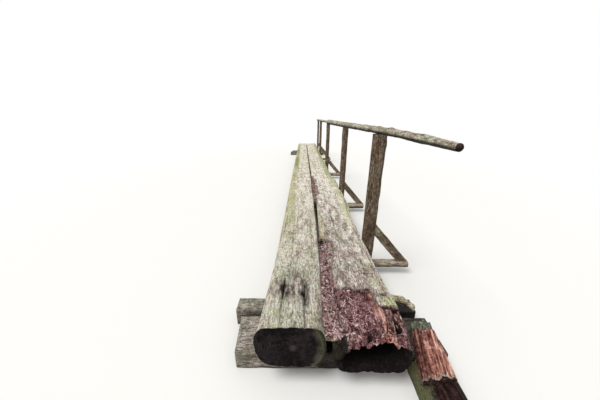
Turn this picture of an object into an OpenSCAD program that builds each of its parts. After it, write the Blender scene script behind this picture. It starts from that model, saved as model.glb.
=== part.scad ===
// Log footbridge over a small stream. Two hewn deck logs lie side by side on cross sills,
// and round cross poles under them carry the posts, braces and pole handrail of one side.
// The near end of the right log is rotten: its top has gone, it is hollow, and a slab lies beside it.
// +Y runs along the deck away from the near end, +Z is up, and z = 0 is the ground.
// x = 0 is the joint between the two deck logs, and y = 0 is the middle of the near sill.

/* [Deck logs] */
// Length of both deck logs
log_len = 9900; // [9000:50:10800]
// Height of a deck log between its hewn top and bottom
log_depth = 300; // [290:2:306]
// Depth of a log's heart below the walked face
heart_depth = 120; // [114:1:125]
// Radius of the left log at its flared near end
left_r_butt = 232; // [224:1:240]
// Radius of the left log behind the flare
left_r = 197; // [194:1:210]
// Radius of the left log at its far end
left_r_far = 186; // [184:1:194]
// Length of the left log's flare
flare_len = 1100; // [800:50:1600]
// Distance of the left log's heart from the joint at the near end
left_axis_near = 235; // [230:1:240]
// Distance of the left log's heart from the joint at the far end
left_axis_far = 198; // [195:1:206]
// Radius of the swell along the left log's joint side
left_swell_r = 200; // [196:1:203]
// Distance of that swell's middle from the joint
left_swell_axis = 170; // [166:1:174]
// Radius of the right log at its near end
right_r_near = 227; // [220:1:232]
// Radius of the right log at its far end
right_r_far = 218; // [210:1:224]
// Distance of the right log's heart from the joint
right_axis = 238; // [234:1:244]
// Radius of the swell along the right log's joint side, behind the rotten troughs
right_swell_r = 212; // [208:1:214]
// Distance of that swell's middle from the joint
right_swell_axis = 190; // [187:1:194]
// Distance of the right log's hewn outer side from the joint
right_hewn = 437; // [430:1:450]
// Gap between the two logs' hewn inner sides
log_gap = 20; // [14:1:30]
// How far the logs reach past the middle of each front sill
log_overhang = 240; // [200:5:300]

/* [Sills] */
// Height of the sills
sill_h = 150; // [140:5:180]
// Width of a front sill along the bridge
sill_w = 285; // [240:5:300]
// Width of the narrower sill behind it
back_sill_w = 130; // [100:5:160]
// Gap between the two sills of one bank
sill_gap = 58; // [30:2:80]
// How far the front sill reaches past the deck on the left
sill_reach_left = 180; // [120:5:300]
// How far the front sill reaches past the deck on the right
sill_reach_right = 338; // [310:2:400]
// How much further left the sill behind it reaches
back_sill_more = 60; // [20:5:100]
// How far askew a sill's outer end is sawn
sill_skew = 25; // [0:1:40]

/* [Handrail posts] */
// Distance from the logs' near ends to the first post
first_post = 1125; // [1000:5:1400]
// Clearance between the last cross pole and the narrower far sill
last_post_clear = 24; // [10:2:80]
// Shares that the first three bays take of the run from the first post to the last
bay_shares = [0.212, 0.290, 0.304]; // [0.18:0.002:0.32]
// Diameters of the five posts at their feet
post_d = [128, 100, 95, 86, 80]; // [76:1:140]
// Share of its foot diameter that a post keeps at its top
post_taper = 0.95; // [0.9:0.01:1]
// Clearance between each post and the hewn side of the deck log beside it
post_clear = [2, 22, 2, 2, 18]; // [2:1:26]

/* [Cross poles and braces] */
// Diameters of the five cross poles
pole_d = [82, 98, 92, 88, 88]; // [80:1:105]
// Depth hewn off the top of a cross pole for its flat seat
pole_flat = 10; // [8:1:16]
// How far each cross pole reaches past the deck on the right
pole_reach = [518, 478, 448, 448, 448]; // [420:2:580]
// How far a cross pole stops short of the deck's left side
pole_short = 90; // [60:5:160]
// Thickness of a brace along the bridge
brace_t = 45; // [38:1:55]
// Width of a brace across its slope
brace_w = 88; // [80:1:100]
// Slope of the braces above level
brace_angle = 49; // [46:1:52]
// Distance from a brace's toe to the end of its cross pole
brace_toe = 8; // [5:1:20]
// Depth of the flat cut into a post for the top of its brace
gain_cut = 2; // [1:0.5:4]
// Clearance in the lap joint of post and cross pole
lap_clear = 0.3; // [0.2:0.1:1]

/* [Handrail] */
// Height of the rail's centre line above the deck
rail_z = 1038; // [950:2:1100]
// How far the near rail's free end droops below that line
rail_droop = 14; // [0:1:20]
// Diameter of the near rail at its near end
rail_d_near = 50; // [46:1:60]
// Diameter of the near rail's butt, over the third post
rail_d_butt = 112; // [100:1:118]
// Diameter of the far rail where it meets the butt
far_rail_d_start = 62; // [56:1:70]
// Diameter of the far rail at the far end
far_rail_d_end = 74; // [66:1:80]
// How far the near rail stops short of the logs' near ends
rail_setback = 80; // [30:5:150]
// How far the far rail stops short of the logs' far ends
far_rail_setback = 60; // [30:5:150]
// Distance of the rails' centre line from the joint between the logs, over the third post
rail_mid_x = 490; // [480:1:500]
// How far further out the near rail's free end lies
rail_swing = 28; // [0:1:34]
// Depth of the flat cut under a rail where it sits on a post
rail_seat = 6; // [5:1:9]
// Sideways sway of the near rail pole
rail_sway = 6; // [0:1:8]
// Gap between the two rails over the third post
rail_joint_gap = 4; // [2:0.5:8]

/* [Rotten end] */
// Length of the top that has rotted off the right log
rot_len = 380; // [340:5:420]
// Distance from the log's near end to the tip of the tongue left on its right side
tongue_setback = 205; // [160:5:240]
// Width of the tongue at its root
tongue_w = 125; // [100:5:140]
// Depth of the rotten surface below the walked face at the end
rot_depth = 95; // [80:1:110]
// Depth of the rotten surface at its far edge
rot_step = 48; // [30:1:60]
// Length of the hollow in the end
hollow_len = 480; // [400:5:600]
// Thickness of the crust between rotten surface and hollow
crust_t = 26; // [20:1:40]
// Thickness of the shell left round the hollow
shell_t = 30; // [24:1:45]
// Length of the second rotten trough, behind the split strip
trough_len = 1200; // [900:10:1600]
// Length of sound wood between the split strip and the second trough
trough_gap = 150; // [60:10:300]
// Width of the rotten troughs along the right log's inner edge
trough_w = 110; // [80:1:130]
// Depth of the rotten troughs
trough_depth = 40; // [25:1:50]

/* [Branch stub] */
// Diameter of the stub where it leaves the log
stub_d = 100; // [90:1:110]
// Diameter of the stub at its sawn end
stub_d_end = 84; // [78:1:90]
// Distance from the log's near end to the stub
stub_y = 370; // [350:5:420]
// How far the stub reaches out past the log's hewn side
stub_reach = 214; // [180:2:260]
// How far the sawn end lies nearer to the log's near end than the stub's root
stub_sweep = 30; // [0:5:60]
// Height of the stub's sawn end below the walked face
stub_drop = 180; // [165:5:200]

/* [Split strip] */
// Distance from the logs' near ends to the strip's near end
strip_start = 1060; // [960:10:1200]
// Length of the strip
strip_len = 1240; // [1000:10:1400]
// Width of the strip at its near end
strip_w = 46; // [36:1:50]
// Width of the strip at its far end
strip_w_far = 12; // [8:1:20]
// Height of the strip's foot below the walked face
strip_h = 64; // [50:1:90]
// How far the strip's top has dropped below the walked face
strip_drop = 5; // [2:1:10]
// Gap left between the strip and the log it split from
strip_clear = 0.3; // [0.2:0.1:1]

/* [Fallen pieces] */
// Thickness of the slab that has fallen off the right log
slab_t = 52; // [40:1:70]
// Length of the slab
slab_len = 440; // [400:5:460]
// Width of the slab at its near end
slab_w_near = 205; // [190:5:240]
// Width of the slab at its far end
slab_w_far = 105; // [90:5:160]
// Gap between the slab's near end and the right log
slab_gap = 73; // [40:1:90]
// How far the slab's far end swings further out
slab_swing = 120; // [80:5:140]
// How far the slab's near end lies ahead of the logs' near ends
slab_ahead = 110; // [80:5:140]
// Length of the broken chunk that props the slab's near end
chunk_len = 330; // [280:5:380]
// Width of the chunk
chunk_w = 250; // [220:5:280]
// How far the chunk's left side lies further out than the slab's
chunk_shift = 20; // [0:5:40]
// Gap between the chunk and the near sill
chunk_clear = 8; // [4:1:20]

/* [Hidden] */
$fn = 64;

// Levels and ends that the pieces share
deck_z = sill_h + log_depth;
heart_z = deck_z - heart_depth;
near_y = -log_overhang;
far_y = near_y + log_len;
far_sill_y = far_y - log_overhang;
left_side_x = -left_axis_near - left_r_butt;
sill_x0 = left_side_x - sill_reach_left;
sill_x1 = right_hewn + sill_reach_right;
over = 100;
big = 2000;

// Places of the posts along the bridge
first_y = near_y + first_post;
far_back_y = far_sill_y - sill_w / 2 - sill_gap - back_sill_w;
last_y = far_back_y - last_post_clear - pole_d[4] / 2;
run = last_y - first_y;
post_y = [
    first_y,
    first_y + bay_shares[0] * run,
    first_y + (bay_shares[0] + bay_shares[1]) * run,
    first_y + (bay_shares[0] + bay_shares[1] + bay_shares[2]) * run,
    last_y
];
function post_x(i) = right_hewn + post_clear[i] + post_d[i] / 2;

// A cross pole's centre height: its hewn flat bears against the logs' underside
function pole_z(i) = sill_h + pole_flat - pole_d[i] / 2;
pole_left_x = left_side_x + pole_short;
function pole_right_x(i) = right_hewn + pole_reach[i];

// The near rail runs from the near end to the third post, and the far rail on from there
rail_axis_z = deck_z + rail_z;
rail_start_y = near_y + rail_setback;
rail_joint_y = post_y[2];
rail_end_y = far_y - far_rail_setback;
function near_rail_u(y) = (y - rail_start_y) / (rail_joint_y - rail_start_y);
function near_rail_d(y) = rail_d_near + (rail_d_butt - rail_d_near) * near_rail_u(y);
function far_rail_d(y) =
    far_rail_d_start
    + (far_rail_d_end - far_rail_d_start) * (y - rail_joint_y) / (rail_end_y - rail_joint_y);
function seat_z(d) = rail_axis_z - d / 2 + rail_seat;

// The near rail's free end droops ahead of the first post
function droop(y) = rail_droop * pow(max(0, (first_y - y) / (first_y - rail_start_y)), 2);

// One closed skin over rings of equal point count, listed from the near ring to the far one
module loft(rings) {
    n = len(rings[0]);
    m = len(rings);
    points = [for (ring = rings) for (p = ring) p];
    sides = [
        for (i = [0 : m - 2]) for (j = [0 : n - 1])
            for (t = [0, 1])
                let (a = i * n + j, b = i * n + (j + 1) % n, c = a + n, d = b + n)
                t == 0 ? [a, c, b] : [b, c, d]
    ];
    near_cap = [[for (j = [0 : n - 1]) j]];
    far_cap = [[for (j = [n - 1 : -1 : 0]) (m - 1) * n + j]];
    polyhedron(points, concat(near_cap, sides, far_cap), convexity = 6);
}

// A ring in an upright plane across the bridge
function ring(cx, y, cz, rx, rz, n, lump = 0, phase = 0) = [
    for (j = [0 : n - 1])
        let (a = -360 * j / n, k = 1 + lump * sin(3 * a + phase) + lump * sin(5 * a - 2 * phase))
        [cx + rx * k * cos(a), y, cz + rz * k * sin(a)]
];

// A round log turned from its taper, along the bridge: each station is [distance, radius]
module round_log(axis_near, axis_far, stations) {
    ends = [stations[0], stations[len(stations) - 1]];
    swing = atan((axis_far - axis_near) / log_len);
    translate([axis_near, near_y, heart_z])
        rotate([0, 0, -swing])
        rotate([-90, 0, 0])
        rotate_extrude()
        polygon(concat(
            [[0, -over], [ends[0][1], -over]],
            [for (s = stations) [s[1], s[0]]],
            [[ends[1][1], log_len + over], [0, log_len + over]]
        ));
}

// The hewn planes of a log: top, bottom, sawn ends and the inner side along the joint
module hewn_space(side) {
    x0 = side < 0 ? -big : log_gap / 2;
    translate([x0, near_y, sill_h]) cube([big - log_gap / 2 * side, log_len, log_depth]);
}

function flare(s) = (left_r_butt - left_r) * pow(1 - s / flare_len, 2);
function left_taper(s) = left_r + (left_r_far - left_r) * s / log_len;

// The oval side of the left log: it grows towards the joint over the near part of the log
swell_grown = 2000;
module left_swell() {
    growth = [[0, 0.75], [0.2, 0.86], [0.5, 0.91], [1, 1]];
    round_log(-left_swell_axis, -left_swell_axis, concat(
        [for (g = growth) [g[0] * swell_grown, g[1] * left_swell_r]],
        [[log_len, left_swell_r]]
    ));
}

module left_log() {
    steps = [0, 0.15, 0.35, 0.6, 1] * flare_len;
    color("#a8a47e")
    intersection() {
        union() {
            round_log(-left_axis_near, -left_axis_far, concat(
                [for (s = steps) [s, left_taper(s) + flare(s)]],
                [[log_len, left_r_far]]
            ));
            left_swell();
        }
        hewn_space(-1);
    }
}

// The right log's half width at the level of the walked face
right_half = sqrt(right_r_near * right_r_near - heart_depth * heart_depth);
right_inner_x = right_axis - right_half;

// The rotten surface at the near end: ragged along its far edge, with a tongue left on the right.
// Each pair of the ragged edge is a place across and a place along, in shares of the rotten part
module rot_pocket() {
    edge_y = near_y + rot_len;
    tongue_y = near_y + tongue_setback;
    root_x = right_hewn - tongue_w;
    rag = [
        [1, 0.82], [0.86, 0.88], [0.7, 0.91], [0.56, 0.94], [0.34, 0.925], [0.16, 0.985], [0, 1]
    ];
    plan = concat(
        [
            [-over, near_y - over],
            [right_hewn + over, near_y - over],
            [right_hewn + over, tongue_y],
            [root_x + 0.12 * tongue_w, tongue_y],
            [root_x + 0.06 * tongue_w, (tongue_y + edge_y) / 2]
        ],
        [
            for (p = rag)
                [right_inner_x + (root_x - right_inner_x) * p[0], near_y + rot_len * p[1]]
        ],
        [[-over, edge_y]]
    );
    tilt = atan((rot_depth - rot_step) / rot_len);
    intersection() {
        translate([0, 0, deck_z - big]) linear_extrude(2 * big) polygon(plan);
        translate([0, near_y, deck_z - rot_depth]) rotate([tilt, 0, 0])
            translate([-over, -over, 0]) cube([big, big, big]);
    }
}

// The hollow that opens at the near end under the crust, narrowing into the log
module end_hollow() {
    top = deck_z - rot_depth - crust_t;
    bottom = sill_h + shell_t;
    rise = (top - bottom) / 2;
    half = (right_hewn - right_axis + right_r_near) / 2 - shell_t;
    depths = [-0.1, 0, 0.3, 0.6, 0.85, 1];
    shrink = [1, 1, 0.9, 0.72, 0.5, 0.2];
    loft([
        for (k = [0 : len(depths) - 1])
            ring(right_hewn - shell_t - half, near_y + depths[k] * hollow_len, bottom + rise,
                 half * shrink[k], rise * shrink[k], 18, 0.04, 50 * k)
    ]);
}

// A trough rotted into the right log's inner edge between two places along the bridge
module trough(y0, y1) {
    translate([0, 0, deck_z - trough_depth]) linear_extrude(2 * trough_depth)
        polygon([
            [-over, y0],
            [right_inner_x + 0.75 * trough_w, y0],
            [right_inner_x + trough_w, y0 + 0.3 * (y1 - y0)],
            [right_inner_x + 0.8 * trough_w, y0 + 0.7 * (y1 - y0)],
            [right_inner_x, y1],
            [-over, y1]
        ]);
}

// A round bar from one point to another
module rod(p, q, r1, r2) {
    v = q - p;
    length = norm(v);
    translate(p)
        rotate([0, acos(v[2] / length), atan2(v[1], v[0])])
        cylinder(h = length, r1 = r1, r2 = r2);
}

// A stout branch stub behind the tongue, bent down and sawn off
module branch_stub() {
    base_y = near_y + stub_y;
    root = [right_hewn - stub_d / 2 - 0.1 * stub_d, base_y, deck_z - heart_depth];
    cut = [right_hewn + stub_reach, base_y - stub_sweep, deck_z - stub_drop];
    elbow = [
        right_hewn + 0.55 * stub_reach,
        base_y - 0.45 * stub_sweep,
        deck_z - heart_depth - 0.58 * (stub_drop - heart_depth)
    ];
    rod(root, elbow, stub_d / 2, stub_d_end / 2);
    translate(elbow) sphere(d = stub_d_end + 2);
    rod(elbow, cut, stub_d_end / 2, stub_d_end / 2);
}

strip_near_y = near_y + strip_start;
strip_far_y = strip_near_y + strip_len;

// The oval side of the right log, from inside the second trough on
module right_swell() {
    start = strip_start + strip_len + trough_gap + trough_len / 4;
    core_r = 0.6 * right_swell_r;
    round_log(right_swell_axis, right_swell_axis, [
        [0, core_r], [start, core_r], [start + trough_len / 3, right_swell_r], [log_len, right_swell_r]
    ]);
}

module right_log() {
    color("#a39a7c")
    union() {
        difference() {
            intersection() {
                union() {
                    round_log(right_axis, right_axis, [[0, right_r_near], [log_len, right_r_far]]);
                    right_swell();
                }
                hewn_space(1);
                translate([right_hewn - big, near_y, 0]) cube([big, log_len, 2 * deck_z]);
            }
            rot_pocket();
            end_hollow();
            trough(near_y + rot_len - 1, strip_near_y);
            trough(strip_far_y + trough_gap, strip_far_y + trough_gap + trough_len);
        }
        branch_stub();
    }
}

// A strip split off the right log's inner edge, lying against its flank and tapering away
module split_strip() {
    grown = [[0, right_r_near + strip_clear], [log_len, right_r_far + strip_clear]];
    color("#b7b287")
    difference() {
        translate([0, 0, deck_z - strip_h]) linear_extrude(strip_h - strip_drop)
            polygon([
                [right_inner_x - strip_w, strip_near_y],
                [right_inner_x + strip_w, strip_near_y],
                [right_inner_x + strip_w, strip_far_y],
                [right_inner_x - strip_w_far, strip_far_y]
            ]);
        round_log(right_axis, right_axis, grown);
    }
}

// A squared sill timber across the bridge, its outer ends sawn slightly askew
module sill(y0, width, x0, x1, skew) {
    color("#8d8468")
        linear_extrude(sill_h)
        polygon([[x0 + skew, y0], [x1, y0], [x1 - skew / 2, y0 + width], [x0, y0 + width]]);
}

module near_sill() {
    sill(-sill_w / 2, sill_w, sill_x0, sill_x1, sill_skew);
}

module near_sill_back() {
    sill(sill_w / 2 + sill_gap, back_sill_w, sill_x0 - back_sill_more, sill_x1 - 2 * sill_skew, 0);
}

module far_sill() {
    translate([0, far_sill_y, 0]) mirror([0, 1, 0]) near_sill();
}

module far_sill_back() {
    translate([0, far_sill_y, 0]) mirror([0, 1, 0]) near_sill_back();
}

// A round pole under the logs, hewn flat on top and lapped on its far half for the post
module cross_pole(i) {
    d = pole_d[i];
    lap_r = post_d[i] / 2 + lap_clear;
    color("#7a6a55")
    difference() {
        translate([pole_left_x, post_y[i], pole_z(i)]) rotate([0, 90, 0])
            cylinder(h = pole_right_x(i) - pole_left_x, d = d);
        translate([-big, post_y[i] - d, sill_h]) cube([2 * big, 2 * d, d]);
        translate([post_x(i) - lap_r, post_y[i], 0]) cube([2 * lap_r, d, 2 * sill_h]);
    }
}

// Heights of a post's seat under the rail, at its near half and at its far half
function post_top(i) =
    i < 2 ? [seat_z(near_rail_d(post_y[i])), seat_z(near_rail_d(post_y[i]))]
    : i == 2 ? [seat_z(near_rail_d(post_y[i])), seat_z(far_rail_d(post_y[i]))]
    : [seat_z(far_rail_d(post_y[i])), seat_z(far_rail_d(post_y[i]))];

// The flat that the top of a brace needs on a round post, and the heights of the brace's end
function gain_depth(i) =
    let (r = post_d[i] / 2) r - sqrt(r * r - pow(brace_t / 2 + 1, 2));
function gain_x(i) = post_x(i) + post_taper * post_d[i] / 2 - gain_depth(i) - gain_cut;
function brace_foot_x(i) = pole_right_x(i) - brace_toe;
function brace_top_z(i) = sill_h + (brace_foot_x(i) - gain_x(i)) * tan(brace_angle);
brace_rise = brace_w / cos(brace_angle);

// A debarked post: its near half stands on the cross pole and its far half is lapped beside it
module post(i) {
    foot_z = pole_z(i) - pole_d[i] / 2;
    tops = post_top(i);
    d = post_d[i];
    color(i == 0 ? "#7d6a52" : "#6f604d")
    difference() {
        translate([post_x(i), post_y[i], foot_z])
            cylinder(h = max(tops) - foot_z, d1 = d, d2 = d * post_taper);
        translate([post_x(i) - d, post_y[i] - d + lap_clear, foot_z - over])
            cube([2 * d, d, sill_h - foot_z + over]);
        if (tops[0] < tops[1])
            translate([post_x(i) - d, post_y[i] - d, tops[0]]) cube([2 * d, d, over]);
        translate([gain_x(i), post_y[i] - d, brace_top_z(i) - brace_rise])
            cube([d, 2 * d, brace_rise]);
    }
}

// A sawn brace from the end of the cross pole up into a flat gain on the post
module brace(i) {
    foot_x = brace_foot_x(i);
    top_z = brace_top_z(i);
    color("#84745c")
    translate([0, post_y[i] + brace_t / 2, 0]) rotate([90, 0, 0])
        linear_extrude(brace_t)
        polygon([
            [foot_x, sill_h],
            [gain_x(i), top_z],
            [gain_x(i), top_z - brace_rise],
            [foot_x - brace_rise / tan(brace_angle), sill_h]
        ]);
}

// A natural pole along the bridge with a light sway and a few knots
module rail_pole(y0, y1, x0, x1, d0, d1, steps, sway, sides) {
    loft([
        for (k = [0 : steps])
            let (
                u = k / steps,
                y = y0 + (y1 - y0) * u,
                r = (d0 + (d1 - d0) * u) / 2,
                knot = 1 + 0.03 * sin(1440 * u + 40)
            )
            ring(x0 + (x1 - x0) * u + sway * sin(400 * u), y, rail_axis_z - droop(y),
                 r * knot, r * knot, sides, 0.01, 70 * k)
    ]);
}

// Flats under a rail where it sits on the posts
module post_seats(posts, half) {
    for (i = posts) {
        d = post_d[i];
        translate([post_x(i) - over, post_y[i] - d / 2 - 2, post_top(i)[half] - over])
            cube([2 * over, d + 4, over]);
    }
}

module handrail_near() {
    end_y = rail_joint_y - rail_joint_gap / 2;
    near_x = rail_mid_x + rail_swing;
    color("#9a8f78")
    difference() {
        rail_pole(rail_start_y, end_y, near_x, rail_mid_x,
                  rail_d_near, rail_d_butt, 40, rail_sway, 14);
        post_seats([0, 1, 2], 0);
    }
}

module handrail_far() {
    start_y = rail_joint_y + rail_joint_gap / 2;
    color("#b0a68f")
    difference() {
        rail_pole(start_y, rail_end_y, rail_mid_x, rail_mid_x,
                  far_rail_d_start, far_rail_d_end, 28, rail_sway / 2, 12);
        post_seats([2, 3, 4], 1);
    }
}

// The slab that broke off the right log, lying on the near sill and on the chunk before it
slab_near_y = near_y - slab_ahead;
slab_x = right_hewn + slab_gap;

module fallen_slab() {
    steps = 7;
    color("#a5603f")
    loft([
        for (k = [0 : steps])
            let (
                u = k / steps,
                y = slab_near_y + slab_len * u,
                x0 = slab_x + slab_swing * u,
                w = slab_w_near + (slab_w_far - slab_w_near) * u,
                lift = 4 * sin(330 * u)
            )
            [
                [x0, y, sill_h],
                [x0 + 0.03 * w, y, sill_h + 0.62 * slab_t + lift],
                [x0 + 0.22 * w, y, sill_h + 0.9 * slab_t],
                [x0 + 0.4 * w, y, sill_h + 0.72 * slab_t - lift],
                [x0 + 0.66 * w, y, sill_h + slab_t + lift],
                [x0 + 0.9 * w, y, sill_h + 0.8 * slab_t],
                [x0 + w, y, sill_h]
            ]
    ]);
}

module fallen_chunk() {
    steps = 5;
    y1 = -sill_w / 2 - chunk_clear;
    cx = slab_x + chunk_shift + chunk_w / 2;
    color("#4e3528")
    loft([
        for (k = [0 : steps])
            let (u = k / steps, y = y1 - chunk_len * (1 - u), half = chunk_w / 2 * (0.93 + 0.07 * u))
            [
                [cx - half, y, 0],
                [cx - half, y, 0.35 * sill_h],
                [cx - 0.8 * half, y, 0.76 * sill_h],
                [cx - 0.4 * half, y, sill_h],
                [cx + 0.4 * half, y, sill_h],
                [cx + 0.8 * half, y, 0.76 * sill_h],
                [cx + half, y, 0.35 * sill_h],
                [cx + half, y, 0]
            ]
    ]);
}

left_log();
right_log();
split_strip();
near_sill();
near_sill_back();
far_sill();
far_sill_back();
cross_pole(0);  // cross_pole_1
cross_pole(1);  // cross_pole_2
cross_pole(2);  // cross_pole_3
cross_pole(3);  // cross_pole_4
cross_pole(4);  // cross_pole_5
post(0);  // post_1
post(1);  // post_2
post(2);  // post_3
post(3);  // post_4
post(4);  // post_5
brace(0);  // brace_1
brace(1);  // brace_2
brace(2);  // brace_3
brace(3);  // brace_4
brace(4);  // brace_5
handrail_near();
handrail_far();
fallen_slab();
fallen_chunk();
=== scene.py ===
import math

import bpy
import numpy as np
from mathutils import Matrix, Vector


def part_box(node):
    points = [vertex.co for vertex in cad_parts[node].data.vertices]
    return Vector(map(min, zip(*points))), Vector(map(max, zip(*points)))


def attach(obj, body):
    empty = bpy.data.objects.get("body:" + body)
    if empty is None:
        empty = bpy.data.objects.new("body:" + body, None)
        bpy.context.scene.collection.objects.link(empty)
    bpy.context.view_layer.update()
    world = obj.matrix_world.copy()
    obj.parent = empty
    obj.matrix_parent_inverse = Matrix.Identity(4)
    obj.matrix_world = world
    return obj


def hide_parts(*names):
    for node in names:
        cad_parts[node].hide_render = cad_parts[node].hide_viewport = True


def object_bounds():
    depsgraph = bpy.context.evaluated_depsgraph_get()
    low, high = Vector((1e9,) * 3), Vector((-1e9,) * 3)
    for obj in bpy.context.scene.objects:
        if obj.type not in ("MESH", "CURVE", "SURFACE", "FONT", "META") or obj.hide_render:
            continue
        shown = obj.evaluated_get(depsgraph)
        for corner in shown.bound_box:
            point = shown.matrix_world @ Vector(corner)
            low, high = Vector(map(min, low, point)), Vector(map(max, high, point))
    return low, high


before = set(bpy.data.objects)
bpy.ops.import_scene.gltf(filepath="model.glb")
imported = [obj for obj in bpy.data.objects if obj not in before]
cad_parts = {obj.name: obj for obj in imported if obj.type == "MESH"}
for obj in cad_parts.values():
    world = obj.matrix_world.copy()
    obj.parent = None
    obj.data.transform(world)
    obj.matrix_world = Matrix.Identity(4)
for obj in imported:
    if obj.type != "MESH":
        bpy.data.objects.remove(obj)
cad_bounds = [list(corner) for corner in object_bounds()]

# Camera
# It stands a pace behind the near sills, 1.6 m over the floor.
# It looks along the deck and a little down, through a wide lens.
lens_mm = 13.56
camera_place = (-0.18, -1.19, 1.60)
look_down = 20.1
look_left = 0.62

camera_data = bpy.data.cameras.new("along_the_deck")
camera_data.sensor_width = 36.0
camera_data.lens = lens_mm
camera = bpy.data.objects.new("along_the_deck", camera_data)
camera.location = camera_place
camera.rotation_euler = (math.radians(90 - look_down), 0.0, math.radians(look_left))
bpy.context.scene.collection.objects.link(camera)
bpy.context.scene.camera = camera
bpy.context.scene.view_settings.view_transform = "Standard"


# Studio
# A pale level floor under the bridge, an even white sky and one broad soft lamp from the left.
# The floor keeps the bridge's shadow near it and fades into the white background further out.
def linear(hex_colour):
    """An sRGB hex value as a linear colour with full alpha."""
    parts = [int(hex_colour[i:i + 2], 16) / 255 for i in (1, 3, 5)]
    return [c / 12.92 if c <= 0.04045 else ((c + 0.055) / 1.055) ** 2.4 for c in parts] + [1.0]


def add_node(tree, kind, inputs=None, ramp=None, **settings):
    """Adds a node. inputs are its sockets by name or number, each with a value or the socket that feeds it,
    and ramp lists the stops of a colour ramp, each a place and an sRGB hex value."""
    node = tree.nodes.new(kind)
    for name, value in settings.items():
        setattr(node, name, value)
    for key, value in (inputs or {}).items():
        if isinstance(value, bpy.types.NodeSocket):
            tree.links.new(value, node.inputs[key])
        else:
            node.inputs[key].default_value = value
    if ramp:
        stops = node.color_ramp.elements
        while len(stops) < len(ramp):
            stops.new(0.5)
        for stop, (place, colour) in zip(stops, ramp):
            stop.position = place
            stop.color = linear(colour)
    return node


def new_material(name):
    """An empty node material and its tree."""
    material = bpy.data.materials.new(name)
    material.use_nodes = True
    material.node_tree.nodes.clear()
    return material, material.node_tree


def seen_directly(tree):
    """1 for the camera's own rays and those that reach it by a reflection or through glass, else 0."""
    rays = add_node(tree, "ShaderNodeLightPath").outputs
    seen = rays["Is Camera Ray"]
    for kind in ("Is Glossy Ray", "Is Transmission Ray"):
        seen = add_node(tree, "ShaderNodeMath", {0: seen, 1: rays[kind]}, operation="MAXIMUM").outputs[0]
    return seen


floor_half = 30.0
floor_level = -0.001
shadow_half_width, shadow_half_length = 4.5, 8.5
bridge_middle_y = (cad_bounds[0][1] + cad_bounds[1][1]) / 2
floor_mesh = bpy.data.meshes.new("pale_floor")
floor_mesh.from_pydata(
    [(x * floor_half, bridge_middle_y + y * floor_half, floor_level)
     for x, y in ((-1, -1), (1, -1), (1, 1), (-1, 1))],
    [], [(0, 1, 2, 3)])
floor = bpy.data.objects.new("pale_floor", floor_mesh)
bpy.context.scene.collection.objects.link(floor)

# Matt off-white near the bridge, where it takes a soft shadow, and plain white further out
floor_material, tree = new_material("pale_floor")
place = add_node(tree, "ShaderNodeTexCoord").outputs["Object"]
spread = add_node(tree, "ShaderNodeMapping", {
    "Vector": place, "Location": (0.0, -bridge_middle_y / shadow_half_length, 0.0),
    "Scale": (1 / shadow_half_width, 1 / shadow_half_length, 1.0)})
distance = add_node(tree, "ShaderNodeVectorMath", {0: spread.outputs[0]}, operation="LENGTH")
fade = add_node(tree, "ShaderNodeMapRange", {
    "Value": distance.outputs["Value"], "From Min": 0.7, "From Max": 1.5}, interpolation_type="SMOOTHSTEP")
white_share = add_node(tree, "ShaderNodeMath", {0: fade.outputs[0], 1: seen_directly(tree)},
                       operation="MULTIPLY")
matt = add_node(tree, "ShaderNodeBsdfDiffuse", {"Color": linear("#f1f0ec")})
white = add_node(tree, "ShaderNodeEmission", {"Color": (1, 1, 1, 1), "Strength": 1.0})
blend = add_node(tree, "ShaderNodeMixShader", {
    0: white_share.outputs[0], 1: matt.outputs[0], 2: white.outputs[0]})
add_node(tree, "ShaderNodeOutputMaterial", {"Surface": blend.outputs[0]})
floor_mesh.materials.append(floor_material)

sky_level = 0.62
world = bpy.data.worlds.new("even_white_sky")
world.use_nodes = True
tree = world.node_tree
tree.nodes.clear()
level = add_node(tree, "ShaderNodeMapRange", {
    "Value": seen_directly(tree), "To Min": sky_level, "To Max": 1.0})
sky = add_node(tree, "ShaderNodeBackground", {"Color": (1, 1, 1, 1), "Strength": level.outputs[0]})
add_node(tree, "ShaderNodeOutputWorld", {"Surface": sky.outputs[0]})
bpy.context.scene.world = world

lamp_data = bpy.data.lights.new("soft_lamp", "SUN")
lamp_data.energy = 1.85
lamp_data.angle = math.radians(28)
lamp = bpy.data.objects.new("soft_lamp", lamp_data)
lamp.rotation_euler = (math.radians(14), math.radians(-24), 0.0)
bpy.context.scene.collection.objects.link(lamp)


# Left deck log
# A straight softwood log, hewn flat on its walked face, its underside and along the joint, butt end near.
# The wood is weathered grey under lichen, mossy along the outer edge, and the sawn end is nearly black.
left_low, left_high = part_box("left_log")
near_y, far_y = left_low.y, left_high.y
deck_z, underside_z = left_high.z, left_low.z
heart_z = deck_z - 0.120
joint_gap = 0.010
left_butt, left_body, left_tip = 0.232, 0.197, 0.186
flare_length = 1.10
left_heart_near, left_heart_far = -0.235, -0.198
left_swell_x, left_swell = -0.170, 0.200


def noise(points, seed=0):
    """Smooth noise between -1 and 1 at each of an array of points."""
    cell = np.floor(points).astype(np.int64)
    part = points - cell
    ease = part * part * (3 - 2 * part)
    total = 0.0
    for corner in ((a, b, c) for a in (0, 1) for b in (0, 1) for c in (0, 1)):
        mixed = seed * 7919 + 17
        weight = 1.0
        for axis, prime in enumerate((73856093, 19349663, 83492791)):
            mixed = mixed ^ ((cell[..., axis] + corner[axis]) * prime)
            weight = weight * (ease[..., axis] if corner[axis] else 1 - ease[..., axis])
        mixed = (mixed ^ (mixed >> 13)) * 1274126177 & 0xffffffff
        total = total + weight * (((mixed ^ (mixed >> 16)) & 0xffff) / 32767.5 - 1)
    return total


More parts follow.
